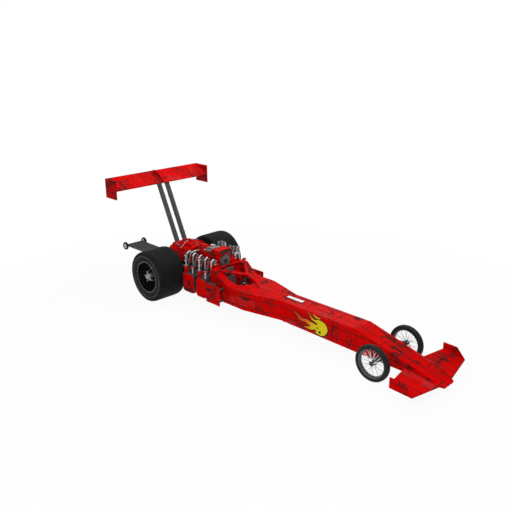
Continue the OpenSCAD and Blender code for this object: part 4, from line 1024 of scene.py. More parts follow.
def drive_trim():
    """The toothed belt, pulley flanges, bolts and the pulley's eye at the front of the engine."""
    belt, flange, bolts = Kit(), Kit(), Kit()
    top, low, y0, y1 = (0.800, 0.1005), (0.400, 0.0805), y_at(-1.068), y_at(-1.032)
    drop = top[0] - low[0]
    lean = math.asin((top[1] - low[1]) / drop)
    points = []
    for i in range(33):
        t = lean + (math.pi - 2 * lean) * -i / 32 + math.pi - 2 * lean
        points.append((top[1] * math.cos(t), top[0] + top[1] * math.sin(t)))
    for i in range(25):
        t = math.pi - lean + (math.pi + 2 * lean) * i / 24
        points.append((low[1] * math.cos(t), low[0] + low[1] * math.sin(t)))
    points = points[::-1]
    total, between = len(points), Vector((0, 0.6))
    outer, inner = [], []
    for i in range(total):
        a, b = Vector(points[i - 1]), Vector(points[(i + 1) % total])
        ahead = (b - a).normalized()
        out = Vector((-ahead.y, ahead.x))
        if out.dot(Vector(points[i]) - between) < 0:
            out = -out
        outer.append(Vector(points[i]) + out * 0.0075)
        inner.append(Vector(points[i]) - out * 0.001)
    rows = []
    for i in range(total):
        rows.append([belt.work.verts.new((p.x, y, p.y)) for p, y in
                     ((inner[i], y0 + 0.003), (outer[i], y0 + 0.003), (outer[i], y1 - 0.003),
                      (inner[i], y1 - 0.003))])
    for i in range(total):
        a, b = rows[i], rows[(i + 1) % total]
        for k in range(4):
            n = (k + 1) % 4
            belt.work.faces.new((a[k], b[k], b[n], a[n]))
    for side in (LEFT, RIGHT):
        for i in range(22):
            z = low[0] + 0.02 + (drop - 0.04) * i / 21
            x = side * (low[1] + (top[1] - low[1]) * (z - low[0]) / drop + 0.0065)
            belt.box((x - 0.0025, y0 + 0.004, z - 0.0035), (x + 0.0035, y1 - 0.004, z + 0.0035), 0.001)
    belt.done("drive_belt_cogs", "hose", "chassis", "dark_steel")
    for z, r in (top, low):
        at = along_axis((0, -1, 0), (0, y1, z))
        for level in (0.0, y1 - y0 - 0.003):
            lathe(flange, [(level, r * 0.3), (level, r + 0.011), (level + 0.003, r + 0.011),
                           (level + 0.003, r * 0.3)],
                  at, 56)
        flange.turned([(y1 - y0 - 0.001, r * 0.52), (y1 - y0 + 0.002, r * 0.50),
                       (y1 - y0 + 0.0018, r * 0.30)], at, 40)
        for i in range(6):
            t = math.tau * i / 6
            bolts.bolt((r * 0.66 * math.cos(t), y0 + 0.0008, z + r * 0.66 * math.sin(t)), (0, -1, 0), 0.0062)
    face = along_axis((0, -1, 0), (0, y0, top[0]))
    for r in (0.052, 0.066, 0.080, 0.092):
        lathe(flange, [(-0.001, r - 0.0035), (0.0045, r - 0.0025), (0.0045, r + 0.0025),
                       (-0.001, r + 0.0035)], face, 56)
    flange.done("pulley_flanges", "cast", "chassis", "dark_steel")
    eye = Kit()
    eye.turned([(0.0, 0.042), (0.003, 0.040), (0.0035, 0.012)], face, 40)
    eye.turned([(0.0035, 0.014), (0.010, 0.013), (0.011, 0.006)], face, 20)
    all_done(("pulley_eye", eye, "soot_and_shade", "dark_steel"), ("pulley_bolts", bolts, "steel", "dark_steel"))


def injector_trim():
    """Throttle blades, fuel rails, nozzles, lines and the cable bracket around the scoop and plenum."""
    grey, steel, lines, red = Kit(), Kit(), Kit(), Kit()
    grey.box((-0.098, y_at(-0.812), 0.9155), (0.098, y_at(-0.650), 0.958), 0.006)
    grey.box((-0.078, y_at(-0.806), 0.956), (0.078, y_at(-0.700), 0.986), 0.005)
    for side in (LEFT, RIGHT):
        grey.box((side * 0.1185 - 0.011, y_at(-0.965), 0.939), (side * 0.1185 + 0.011, y_at(-0.640), 0.957),
                 0.004)
        grey.rod((side * 0.055, y_at(-0.7000), 0.968), (side * 0.055, y_at(-0.640), 0.972), 0.021, 18, 0.019,
                 0.003)
        for i in range(4):
            y = y_at(-0.935 + 0.088 * i)
            steel.rod((side * 0.130, y, 0.948), (side * 0.149, y, 0.950), 0.0075, 6, 0.0062, 0.001)
            steel.rod((side * 0.147, y, 0.950), (side * 0.160, y, 0.951), 0.0046, 10)
            end = Vector((side * 0.206, y_at(PORTS[4 - i]) + 0.03, 0.8205))
            lines.tube(smooth_line([(side * 0.158, y, 0.951), (side * 0.186, y + 0.004, 0.940),
                                    (side * 0.202, (y + end.y) / 2, 0.885), end], 16), 0.0052, 8)
            steel.rod(end + Vector((0, 0, 0.012)), end - Vector((0, 0, 0.008)), 0.0080, 6, None, 0.001)
    grey.box((-0.085, y_at(-0.648), 0.9155), (0.085, y_at(-0.612), 0.944), 0.004)
    for x in (-0.060, 0.0, 0.060):
        steel.bolt((x, y_at(-0.755), 0.9858), (0, 0, 1), 0.0075)
        steel.bolt((x, y_at(-0.630), 0.9438), (0, 0, 1), 0.0062)
    red.box((-0.030, y_at(-0.690), 0.9150), (0.030, y_at(-0.655), 0.978), 0.005)
    lever = [(0, 0), (0.030, 0.004), (0.046, 0.020), (0.040, 0.026), (0.024, 0.014), (0, 0.016)]
    quarter = math.radians(90)
    steel.plate(lever, 0.004, Matrix.Translation((0.081, y_at(-0.780), 0.962)) @ Matrix.Rotation(quarter, 4,
                                                                                                 "X")
                @ Matrix.Rotation(quarter, 4, "Y"))
    all_done(("injector_body", grey, "cast", "cast_grey"), ("injector_fittings", steel, "machined",
                                                            "cast_grey"),
             ("injector_lines", lines, "hose", "dark_steel"), ("linkage_block", red, "red", "red_paint"))


def scoop_trim():
    """A near-black sheet of painted shade in the throat, its three throttle rings on their shaft, and rivets
    along the scoop.
    """
    low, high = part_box("air_scoop")
    throat, blades, rivets = Kit(), Kit(), Kit()
    y, z0, z1 = low.y, 0.949, 0.990
    half_way = (z0 + z1) / 2
    # A near-black sheet across the throat is painted shade for the scoop's depth.
    throat.box((-0.118, y + 0.040, z0 + 0.001), (0.118, y + 0.044, z1 - 0.002), 0.002)
    throat.done("scoop_throat_shade", "soot_and_shade", "chassis", "red_paint")
    for x in (-0.079, 0.0, 0.079):
        lathe(blades, [(-0.004, 0.0165), (-0.004, 0.0190), (0.0, 0.0190), (0.0, 0.0165)],
              along_axis((0, -1, 0), (x, y + 0.038, half_way)), 28)
    blades.rod((-0.110, y + 0.036, half_way), (0.110, y + 0.036, half_way), 0.003, 10)
    blades.done("scoop_blades", "dark", "chassis", "bright_metal")
    for i in range(9):
        t = i / 8
        for side in (LEFT, RIGHT):
            rivets.rivet((side * 0.137, y + 0.022 + 0.25 * t, high.z), (0, 0, 1), 0.0042)
    for i in range(7):
        rivets.rivet((-0.12 + 0.04 * i, y + 0.016, high.z), (0, 0, 1), 0.0042)
    rivets.done("scoop_rivets", "steel", "chassis", "bright_metal")


def block_trim():
    """Sump, side ribs, core plugs, pumps, hoses and the magneto."""
    cast, steel, hose, red = Kit(), Kit(), Kit(), Kit()
    low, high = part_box("engine_block")
    for side in (LEFT, RIGHT):
        for i in range(8):
            y = low.y + 0.05 + (high.y - low.y - 0.1) * i / 7
            cast.box((side * 0.165 - 0.006, y - 0.006, 0.270), (side * 0.165 + 0.006, y + 0.006, 0.396),
                     0.002)
            steel.bolt((side * 0.1712, y + 0.03 if i < 7 else y - 0.03, 0.292), (side, 0, 0), 0.0062)
        for i in range(4):
            y = low.y + 0.115 + 0.15 * i
            cast.turned([(0, 0.026), (0.004, 0.026), (0.005, 0.020), (0.001, 0.018)],
                        along_axis((side, 0, 0), (side * 0.1645, y, 0.345)), 20)
        hose.tube(smooth_line([(side * 0.186, y_at(-0.365), 0.520), (side * 0.23, y_at(-0.31), 0.53),
                               (side * 0.215, y_at(-0.25), 0.46), (side * 0.13, y_at(-0.215), 0.40)], 20),
                  0.0130, 12)
        steel.rod((side * 0.176, y_at(-0.372), 0.520), (side * 0.196, y_at(-0.350), 0.522), 0.0175, 6, None,
                  0.002)
    cast.box((-0.150, low.y + 0.03, 0.232), (0.150, high.y - 0.03, 0.2635), 0.010)
    for x, y, z, case_r, r in ((0.205, -1.060, 0.470, 0.040, 0.030), (-0.195, -1.068, 0.490, 0.046, 0.035)):
        cast.rod((x, y_at(y), z), (x, y_at(-0.985), z), case_r, 24, bevel=0.004)
        for t in TURN:
            steel.bolt((x + r * math.cos(t), y_at(y), z + r * math.sin(t)), (0, -1, 0), 0.0045)
    hose.tube(smooth_line([(0.205, y_at(-1.03), 0.509), (0.225, y_at(-1.02), 0.62), (0.19, y_at(-1.0), 0.72),
                           (0.135, y_at(-0.96), 0.86), (0.128, y_at(-0.955), 0.937)], 24), 0.0085, 10)
    magneto = Matrix.Translation((0, y_at(-0.372), 0.744))
    red.turned([(0, 0.052), (0.030, 0.052), (0.034, 0.060), (0.060, 0.060), (0.072, 0.050), (0.076, 0.020)],
               magneto,
               32)
    for i in range(8):
        t = math.tau * i / 8
        foot = Vector((0.042 * math.cos(t), y_at(-0.372) + 0.042 * math.sin(t), 0.814))
        steel.rod(foot, foot + Vector((0, 0, 0.016)), 0.006, 8, 0.005)
    all_done(("block_ribs", cast, "cast", "cast_grey"), ("block_fittings", steel, "steel", "cast_grey"),
             ("coolant_hoses", hose, "hose", "dark_steel"), ("magneto", red, "red", "red_paint"))


pipe_trim()
cover_trim()
blower_trim()
drive_trim()
injector_trim()
scoop_trim()
block_trim()

# ---------------------------------------------------------------- bodywork


def rear_pipe():
    """The pipe that crosses from the plenum to the first port, behind the engine."""
    kit = Kit()
    for side in (LEFT, RIGHT):
        kit.tube(smooth_line([(side * 0.100, y_at(-0.500), 0.890), (side * 0.190, y_at(-0.500), 0.900),
                              (side * 0.262, y_at(-0.486), 0.896), (side * 0.300, y_at(-0.470), 0.868),
                              (side * 0.306, y_at(-0.466), 0.815)], 26), 0.0180, 16)
    kit.done("crossing_pipes", "chrome", "chassis", "chrome")


def gusset(kit, outline, matrix, thick, holes, flange=()):
    """A pierced plate, with a rolled flange about each hole that is given a radius."""
    kit.plate(outline, thick, matrix, holes=holes)
    for x, y, r in flange:
        lathe(kit, [(-0.0015, r), (-0.0015, r + 0.0065), (thick + 0.0035, r + 0.0045), (thick + 0.0035, r)],
              matrix @ Matrix.Translation((x, y, 0)), 20)


def tail_trim():
    """Pierced gussets, rolled lips, light tubes and fasteners around the rear cover."""
    red, pale, steel = Kit(), Kit(), Kit()
    for side in (LEFT, RIGHT):
        for x, top in ((0.236, 0.868), (0.150, 0.958)):
            outline = [(y_at(-0.315), top - 0.075), (y_at(-0.300), top - 0.010), (y_at(-0.235), top),
                       (y_at(-0.060), top - 0.004), (y_at(0.110), top - 0.060), (y_at(0.245), 0.770),
                       (y_at(0.250), 0.690), (y_at(0.150), 0.700), (y_at(-0.200), 0.720)]
            holes = [(y_at(0.170), 0.768, 0.020), (y_at(0.075), top - 0.100, 0.022),
                     (y_at(-0.045), top - 0.062, 0.022),
                     (y_at(-0.165), top - 0.056, 0.022), (y_at(-0.255), top - 0.060, 0.014)]
            gusset(red, outline, side_plane(side * x - 0.003), 0.006,
                   [ring_points(y, z, r, 18) for y, z, r in holes], holes)
        for y in (0.060, -0.090, -0.210):
            top = 0.900 + (0.03 if y < 0 else -0.02)
            gusset(red, [(side * 0.095, 0.800), (side * 0.262, 0.745), (side * 0.268, 0.800),
                         (side * 0.205, top - 0.045),
                         (side * 0.100, top + 0.050)][::side], front_plane(y_at(y)), 0.005,
                   [ring_points(side * 0.160, 0.850, 0.019, 16)])
        pale.tube(smooth_line([(side * 0.118, y_at(0.205), 0.800), (side * 0.150, y_at(0.170), 0.868),
                               (side * 0.172, y_at(0.080), 0.905), (side * 0.200, y_at(0.010), 0.898)], 22),
                  0.0085, 10)
        pale.tube(smooth_line([(side * 0.060, y_at(-0.100), 0.980), (side * 0.135, y_at(-0.110), 0.962),
                               (side * 0.190, y_at(-0.120), 0.925), (side * 0.246, y_at(-0.100), 0.868)], 22),
                  0.0075, 10)
        for y in (-0.27, -0.19, -0.11, -0.03, 0.05, 0.13):
            steel.rivet((side * 0.262, y_at(y), 0.765), (side, 0, 0.35), 0.0050)
            steel.rivet((side * 0.108, y_at(y), 0.9385 if y > -0.2 and y < 0 else 0.926), (side * 0.6, 0, 1),
                        0.0048)
    lip = [(-0.268, 0.748), (-0.262, 0.790), (-0.238, 0.835), (-0.150, 0.918), (-0.074, 0.948), (0.0, 0.954)]
    lip = lip + [(-x, z) for x, z in reversed(lip[:-1])]
    red.tube(smooth_line([(x, y_at(-0.322), z - 0.040) for x, z in lip], 60), 0.0170, 14)
    red.tube(smooth_line([(x * 0.97, y_at(-0.250), z + 0.002) for x, z in lip], 60), 0.0080, 10)
    red.tube(smooth_line([(x * 0.97, y_at(0.180), z - 0.075) for x, z in lip], 60), 0.0090, 10)
    red.rod((-0.060, y_at(0.02), 0.955), (0.060, y_at(0.02), 0.955), 0.016, 16, None, 0.003)
    red.box((-0.045, y_at(-0.20), 0.948), (0.045, y_at(-0.06), 0.984), 0.008)
    red.turned([(0.952, 0.036), (0.986, 0.036), (0.992, 0.030), (0.992, 0.012)],
               Matrix.Translation((0.0, y_at(0.085), -0.030)), 28)
    all_done(("tail_gussets", red, "red", "red_paint"), ("tail_tubes", pale, "pale_alloy", "bright_metal"),
             ("tail_fasteners", steel, "steel", "bright_metal"))


def strut_trim():
    """Brackets and bolts of the wing struts."""
    steel, dark = Kit(), Kit()
    foot, head = Vector((0.09, y_at(0.062), 0.640)), Vector((0.09, y_at(0.695), 1.986))
    run = (head - foot).normalized()
    out = Vector((0, -run.z, run.y))
    base = Matrix(((1, 0, 0, 0), (0, run.y, out.y, 0), (0, run.z, out.z, 0), (0, 0, 0, 1)))
    for share in (0.235, 0.30, 0.55, 0.80, 0.962):
        at = foot.lerp(head, share)
        for side in (LEFT, RIGHT):
            place = Matrix.Translation((side * at.x, at.y, at.z)) @ base
            dark.box((-0.0355, -0.014, -0.0355), (0.0355, 0.014, 0.0355), 0.002, place)
            for x in (-0.018, 0.018):
                steel.bolt(place @ Vector((x, 0, 0.0352)), out, 0.0058)
            steel.bolt(place @ Vector((side * 0.0352, 0, 0)), (side, 0, 0), 0.0062)
    all_done(("strut_brackets", dark, "dark", "dark_steel"), ("strut_bolts", steel, "steel", "bright_metal"))


def wing_trim():
    """Rivet rows and seams with raised straps on the rear wing, and rivets on its end plates."""
    rivets, strap = Kit(), Kit()
    front, crease, back = (0.615, 1.976), (0.795, 2.038), (0.968, 2.146)

    def wing_point(x, share):
        """A point on the rear wing's top face, a share of the way back, and its normal."""
        a, b, t = (front, crease, share * 2) if share < 0.5 else (crease, back, share * 2 - 1)
        y, z = a[0] + (b[0] - a[0]) * t, a[1] + (b[1] - a[1]) * t
        normal = Vector((0, -(b[1] - a[1]), b[0] - a[0])).normalized()
        return Vector((x, y_at(y), z)), normal

    for x in (-0.80, -0.53, -0.27, 0.27, 0.53, 0.80):
        for shares in ((0.05, 0.28, 0.46), (0.54, 0.75, 0.95)):
            points, normals = zip(*[wing_point(x, t) for t in shares])
            strap.strip(points, normals, 0.026, 0.0022)
        for t in (0.06, 0.16, 0.26, 0.36, 0.46, 0.55, 0.65, 0.75, 0.85, 0.94):
            for dx in (-0.009, 0.009):
                p, n = wing_point(x + dx, t)
                rivets.rivet(p + n * 0.0022, n, 0.0036)
    for i in range(56):
        x = -1.035 + 2.07 * i / 55
        for t in (0.03, 0.965):
            p, n = wing_point(x, t)
            rivets.rivet(p, n, 0.0036)
    for side in (LEFT, RIGHT):
        for i in range(12):
            y = y_at(0.635) + 0.305 * i / 11
            for z in (1.816, 2.126):
                if z < 2.0 or i > 3:
                    rivets.rivet((side * 1.0712, y, z), (side, 0, 0), 0.0042)
    all_done(("wing_straps", strap, "red", "red_paint"), ("wing_rivets", rivets, "rivet", "red_paint"))


def body_trim():
    """Quarter-turn fasteners, seam straps, hatch edging and skid strips on the long body."""
    studs, strap = Kit(), Kit()
    for side in (LEFT, RIGHT):
        for i in range(26):
            y = -4.06 + 0.058 * i
            for z in (0.524, 0.208):
                studs.rivet((side * 0.1905, y_at(y), z), (side, 0, 0), 0.0046)
        for i in range(20):
            studs.rivet((side * 0.172, y_at(-4.05 + 0.075 * i), 0.5452), (0, 0, 1), 0.0046)
        for y in (-2.66, -3.62, -4.06):
            strap.box((side * 0.1925 - 0.0025, y_at(y) - 0.011, 0.196),
                      (side * 0.1925 + 0.0025, y_at(y) + 0.011, 0.540),
                      0.0012)
        for i in range(14):
            y = -1.18 - 0.052 * i
            studs.rivet((side * 0.3855, y_at(y), 0.250), (side, 0, 0), 0.0050)
            if i > 7:
                studs.rivet((side * 0.3855, y_at(y), 0.520), (side, 0, 0), 0.0050)
        for i in range(10):
            studs.rivet((side * 0.350, y_at(-1.62 - 0.03 * i), 0.5452), (0, 0, 1), 0.0050)
    for y in (-2.50, -3.62, -4.06):
        strap.box((-0.186, y_at(y) - 0.011, 0.5435), (0.186, y_at(y) + 0.011, 0.5478), 0.0012)
    strap.box((-0.008, y_at(-4.05), 0.5435), (0.008, y_at(-2.92), 0.5472), 0.0012)
    all_done(("body_studs", studs, "rivet", "red_paint"), ("body_straps", strap, "red", "red_paint"))
    skid, belly = Kit(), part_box("fore_body")[0].z
    for side in (LEFT, RIGHT):
        skid.box((side * 0.15 - 0.012, y_at(-4.05), belly - 0.006), (side * 0.15 + 0.012, y_at(-2.75),
                                                                     belly + 0.001),
                 0.002)
    skid.done("skid_strips", "dark", "chassis", "dark_steel")


def side_plate_trim():
    """Bolts around the side plates and the brackets of the foremost pair."""
    studs, bracket = Kit(), Kit()
    for side in (LEFT, RIGHT):
        for y0, y1, z0, z1 in ((-0.808, -0.512, 0.238, 0.586), (-1.128, -0.876, 0.238, 0.586),
                               (-1.492, -1.137, 0.206, 0.561)):
            for t in (0.0, 0.333, 0.667, 1.0):
                for z in (z0 + 0.026, z1 - 0.026):
                    y = y0 + 0.06 + (y1 - y0 - 0.12) * t
                    studs.bolt((side * 0.5362, y_at(y), z), (side, 0, 0), 0.0060)
            for z in (z0 + 0.13, z1 - 0.13):
                for y in (y0 + 0.026, y1 - 0.026):
                    studs.bolt((side * 0.5362, y_at(y), z), (side, 0, 0), 0.0060)
        for z in (0.275, 0.495):
            bracket.box((side * 0.4575 - 0.0725, y_at(-1.460), z - 0.012),
                        (side * 0.4575 + 0.0725, y_at(-1.436), z + 0.012), 0.003)
    all_done(("side_plate_bolts", studs, "rivet", "red_paint"),
             ("side_plate_brackets", bracket, "dark", "dark_steel"))


def truss_trim():
    """Flat ladder plates and clamps over the wheelie truss."""
    kit, bolts = Kit(), Kit()
    for i in range(17):
        y = 0.234 + 0.094 * i
        kit.box((-0.150, y_at(y) - 0.021, 0.4965), (0.150, y_at(y) + 0.021, 0.5010), 0.001)
        for side in (LEFT, RIGHT):
            bolts.bolt((side * 0.139, y_at(y), 0.5008), (0, 0, 1), 0.0055)
    for side in (LEFT, RIGHT):
        for y in (0.165, 0.60, 1.10, 1.55):
            lathe(kit, [(-0.013, 0.0215), (-0.013, 0.0255), (0.013, 0.0255), (0.013, 0.0215)],
                  along_axis((0, 1, 0), (side * 0.172, y_at(y), 0.484)), 28)
    all_done(("truss_treads", kit, "dark", "dark_steel"), ("truss_bolts", bolts, "steel", "bright_metal"))


rear_pipe()
tail_trim()
strut_trim()
wing_trim()
body_trim()
side_plate_trim()
truss_trim()


def tail_holes():
    """Round lightening holes shown as near-black discs of painted shade inside rolled lips, and small clips,
    scattered over the rear cover.
    """
    skin = NODES["rear_cover"]
    low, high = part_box("rear_cover")
    lips, shade_discs, clips = Kit(), Kit(), Kit()
    tree = BVHTree.FromPolygons([skin.matrix_world @ v.co for v in skin.data.vertices],
                                [list(p.vertices) for p in skin.data.polygons])
    for i in range(92):
        side = LEFT if i % 2 else RIGHT
        y = low.y + (high.y - low.y) * rng.uniform(0.05, 0.95)
        if rng.random() < 0.5:
            start, way = Vector((side * 0.6, y, rng.uniform(low.z + 0.05, high.z - 0.03))), Vector((-side, 0,
                                                                                                    0.0))
        else:
            start, way = Vector((side * rng.uniform(0.02, 0.25), y, 1.4)), Vector((0, 0, -1))
        at, normal = tree.ray_cast(start, way)[:2]
        if at is None:
            continue
        normal = normal if normal.dot(way) < 0 else -normal
        place = along_axis(normal, at)
        r = rng.choice((0.013, 0.017, 0.022))
        if i % 3:
            lathe(lips, [(-0.002, r), (-0.002, r + 0.007), (0.0045, r + 0.005), (0.0050, r + 0.001)], place,
                  20)
            # The near-black disc inside each lip is painted shade for the hole.
            shade_discs.turned([(0.0006, r + 0.001), (0.0012, r * 0.5)], place, 20)
        else:
            turn = place @ Matrix.Rotation(rng.uniform(0, math.pi), 4, "Z")
            clips.box((-0.024, -0.006, 0.0), (0.024, 0.006, 0.006), 0.0015, turn)
            clips.bolt(turn @ Vector((0.014, 0, 0.0055)), normal, 0.0040)
    all_done(("tail_hole_lips", lips, "red", "red_paint"), ("tail_hole_shade_discs", shade_discs, "soot_and_shade", "red_paint"),
             ("tail_clips", clips, "grimy", "red_paint"))


tail_holes()

# ---------------------------------------------------------------- cockpit


def stuffed(name, low, high, crown, material, seams, cap, round_r=0.018, lean=None, replaces=()):
    """A stuffed pad: a rounded block whose cover is blown up by a cloth simulation.

    No point moves further than the cap, and the cover is then sewn down along its seams.
    """
    low, high = Vector(low), Vector(high)
    size, centre = high - low, (low + high) / 2
    work = bmesh.new()
    bmesh.ops.create_cube(work, size=1.0)
    for v in work.verts:
        v.co = v.co * size
    bmesh.ops.bevel(work, geom=work.edges[:], offset=round_r, segments=3, affect="EDGES", profile=0.5)
    mesh = bpy.data.meshes.new(name)
    work.to_mesh(mesh)
    work.free()
    piece = bpy.data.objects.new(name, mesh)
    bpy.context.scene.collection.objects.link(piece)
    place = Matrix.Translation(centre) @ (lean or Matrix.Identity(4))
    bpy.context.view_layer.objects.active = piece
    grid = piece.modifiers.new("grid", "REMESH")
    grid.mode, grid.voxel_size = "VOXEL", 0.006
    bake(piece)
    rest = [v.co.copy() for v in piece.data.vertices]
    cloth = piece.modifiers.new("cover", "CLOTH")
    cloth.settings.use_pressure = True
    cloth.settings.uniform_pressure_force = 4.0
    cloth.settings.effector_weights.gravity = 0.0
    cloth.settings.quality = 4
    cloth.settings.mass = 0.3
    cloth.point_cache.frame_start, cloth.point_cache.frame_end = 1, 20
    for number in range(1, 21):
        bpy.context.scene.frame_set(number)
    bake(piece)
    bpy.context.scene.frame_set(1)
    for v, start in zip(piece.data.vertices, rest):
        move = v.co - start
        if move.length > cap:
            v.co = start + move * (cap / move.length)
        away = [abs(v.co[k]) / (size[k] / 2) for k in range(3)]
        top = crown * max(0.0, 1 - away[0] ** 2) * max(0.0, 1 - away[1] ** 2)
        v.co.z += top if v.co.z > 0 else 0.0
        for axis, spot in seams:
            gap = abs(v.co[axis] - spot)
            if gap < 0.011 and v.co.z > 0:
                v.co.z -= 0.0065 * (1 - gap / 0.011) ** 2
    piece.data.transform(place)
    smooth = piece.modifiers.new("smooth", "SUBSURF")
    smooth.levels = smooth.render_levels = 1
    bake(piece)
    mesh = piece.data
    mesh.materials.clear()
    mesh.materials.append(MAT[material])
    mesh.shade_smooth()
    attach(piece, "chassis")
    if replaces:
        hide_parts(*replaces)
    return piece


def bake(piece):
    """Turns a piece's modifiers into its mesh."""
    graph = bpy.context.evaluated_depsgraph_get()
    mesh = bpy.data.meshes.new_from_object(piece.evaluated_get(graph))
    piece.modifiers.clear()
    piece.data = mesh


def cockpit_pads():
    """Seat squab, back and head pads, each with its crown towards the driver."""
    stuffed("seat_squab", (-0.092, y_at(-1.468), 0.300), (0.092, y_at(-1.300), 0.330), 0.008, "cushion",
            [(0, -0.045), (0, 0.0), (0, 0.045)], 0.010, 0.012, Matrix.Rotation(math.radians(-6), 4, "X"))
    stuffed("seat_back_pad", (-0.092, y_at(-1.303), 0.4415), (0.092, y_at(-1.103), 0.4675), 0.006, "cushion",
            [(1, -0.05), (1, 0.0), (1, 0.05)], 0.008, 0.011,
            Matrix.Rotation(math.radians(71), 4, "X"))
    stuffed("head_pad", (-0.095, y_at(-1.228), 0.626), (0.095, y_at(-1.098), 0.654), 0.004, "cushion",
            [(0, 0.0)], 0.006, 0.011, Matrix.Rotation(math.radians(88), 4, "X"))


def cockpit_trim():
    """Harness, buckle, dash with round gauges, levers, pedals and the fire bottle."""
    belts, steel, dark, face, red = Kit(), Kit(), Kit(), Kit(), Kit()
    for side in (LEFT, RIGHT):
        path = smooth_line([(side * 0.075, y_at(-1.150), 0.600), (side * 0.077, y_at(-1.166), 0.572),
                            (side * 0.075, y_at(-1.198), 0.520), (side * 0.070, y_at(-1.226), 0.470),
                            (side * 0.045, y_at(-1.270), 0.392), (side * 0.015, y_at(-1.296), 0.366)], 24)
        belts.strip(path, [(0, -1, 0.35)] * 24, 0.048, 0.0024)
        path = smooth_line([(side * 0.156, y_at(-1.240), 0.338), (side * 0.115, y_at(-1.262), 0.352),
                            (side * 0.060, y_at(-1.285), 0.360), (side * 0.015, y_at(-1.295), 0.366)], 16)
        belts.strip(path, [(0, -0.6, 0.8)] * 16, 0.048, 0.0024)
        steel.box((side * 0.0745 - 0.028, y_at(-1.213), 0.505), (side * 0.0745 + 0.028, y_at(-1.201), 0.533),
                  0.002)
    steel.turned([(0, 0.030), (0.006, 0.032), (0.014, 0.030), (0.017, 0.016)],
                 along_axis((0, -0.7, 0.7), (0, y_at(-1.293), 0.366)), 28)
    red.turned([(0.014, 0.012), (0.020, 0.012), (0.021, 0.008)],
               along_axis((0, -0.7, 0.7), (0, y_at(-1.293), 0.366)), 20)
    dark.box((-0.150, y_at(-1.742), 0.430), (0.150, y_at(-1.700), 0.528), 0.008)
    for x, z, r in ((0.0, 0.482, 0.036), (-0.086, 0.486, 0.027), (0.086, 0.486, 0.027)):
        at = along_axis((0, 1, 0.12), (x, y_at(-1.7005), z))
        lathe(steel, [(0, r), (0, r + 0.004), (0.008, r + 0.003), (0.008, r - 0.001)], at, 32)
        face.turned([(0.001, r), (0.0035, r), (0.004, r * 0.2)], at, 32)
        steel.box((-0.0012, 0, 0.0042), (0.0012, r * 0.8, 0.0052), 0.0, at @ Matrix.Rotation(0.9 + x * 8, 4,
                                                                                             "Z"))
    for i in range(5):
        steel.rod((-0.060 + 0.030 * i, y_at(-1.7005), 0.442), (-0.060 + 0.030 * i, y_at(-1.686), 0.446),
                  0.0035, 8)
    for x in (-0.250, 0.250):
        steel.rod((x, y_at(-1.480), 0.236), (x * 0.94, y_at(-1.430), 0.480), 0.0075, 12)
        dark.turned([(0, 0.010), (0.008, 0.017), (0.026, 0.019), (0.040, 0.013), (0.044, 0.004)],
                    along_axis((-x * 0.05, 0.05, 0.24), (x * 0.94, y_at(-1.430), 0.478)), 20)
        for z in (0.30, 0.38):
            steel.bolt((x * 1.02, y_at(-1.470), z), (-x, 0, 0), 0.006)
    for x in (-0.085, 0.085):
        steel.rod((x, y_at(-2.060), 0.235), (x, y_at(-2.120), 0.400), 0.0075, 10)
        dark.box((x - 0.034, y_at(-2.132), 0.372), (x + 0.034, y_at(-2.120), 0.440), 0.004)
    red.rod((0.235, y_at(-1.420), 0.270), (0.235, y_at(-1.180), 0.270), 0.036, 28, None, 0.012)
    steel.rod((0.235, y_at(-1.436), 0.270), (0.235, y_at(-1.418), 0.270), 0.014, 14)
    for y in (-1.240, -1.360):
        lathe(steel, [(-0.009, 0.0362), (-0.009, 0.0385), (0.009, 0.0385), (0.009, 0.0362)],
              along_axis((0, 1, 0), (0.235, y_at(y), 0.270)), 28)
    all_done(("harness", belts, "belt", "pack_fabric"), ("cockpit_fittings", steel, "steel", "bright_metal"),
             ("dash", dark, "shell", "seat_shell"), ("gauge_faces", face, "gauge", "seat_shell"),
             ("cockpit_reds", red, "red", "red_paint"))


def hand_wheel():
    """The steering wheel: stitched rim, drilled spokes and a quick-release hub."""
    node = "steering_wheel"
    at = Matrix.Translation((0, y_at(-1.540), 0.505)) @ Matrix.Rotation(math.radians(-70), 4, "X")
    rim, spokes, thread = Kit(), Kit(), Kit()
    radius = 0.108
    inner = radius - 0.0095
    rim.tube([at @ polar(radius, math.tau * i / 72) for i in range(72)], 0.0118, 14, closed=True)
    for i in range(60):
        t = math.tau * i / 60
        thread.rod(at @ polar(inner, t, 0.0066), at @ polar(inner, t + 0.05, -0.0066), 0.0008, 6)
    for angle in (30, 150, 270):
        turn = at @ Matrix.Rotation(math.radians(angle), 4, "Z")
        outline = [(0.026, -0.016), (0.060, -0.010), (0.100, -0.012), (0.100, 0.012), (0.060, 0.010),
                   (0.026, 0.016)]
        spokes.plate(outline, 0.005, turn @ Matrix.Translation((0, 0, -0.0025)),
                     holes=[ring_points(0.048, 0, 0.006, 14), ring_points(0.068, 0, 0.005, 14),
                            ring_points(0.085, 0, 0.004, 14)])
    spokes.turned([(-0.090, 0.0095), (-0.030, 0.0095), (-0.028, 0.022), (-0.014, 0.024), (-0.012, 0.030),
                   (0.008, 0.031),
                   (0.012, 0.027), (0.013, 0.012)], at, 36)
    bolt_ring(spokes, at, 6, 0.0215, 0.0115, at.to_3x3() @ Vector((0, 0, 1)), 0.0034)
    rim.done("wheel_rim", "grip", "steering_wheel_body", "grip", replaces=[node])
    spokes.done("wheel_spokes", "cast", "steering_wheel_body", "bright_metal")
    thread.done("wheel_stitches", "belt", "steering_wheel_body", "grip")


# ---------------------------------------------------------------- parachute packs


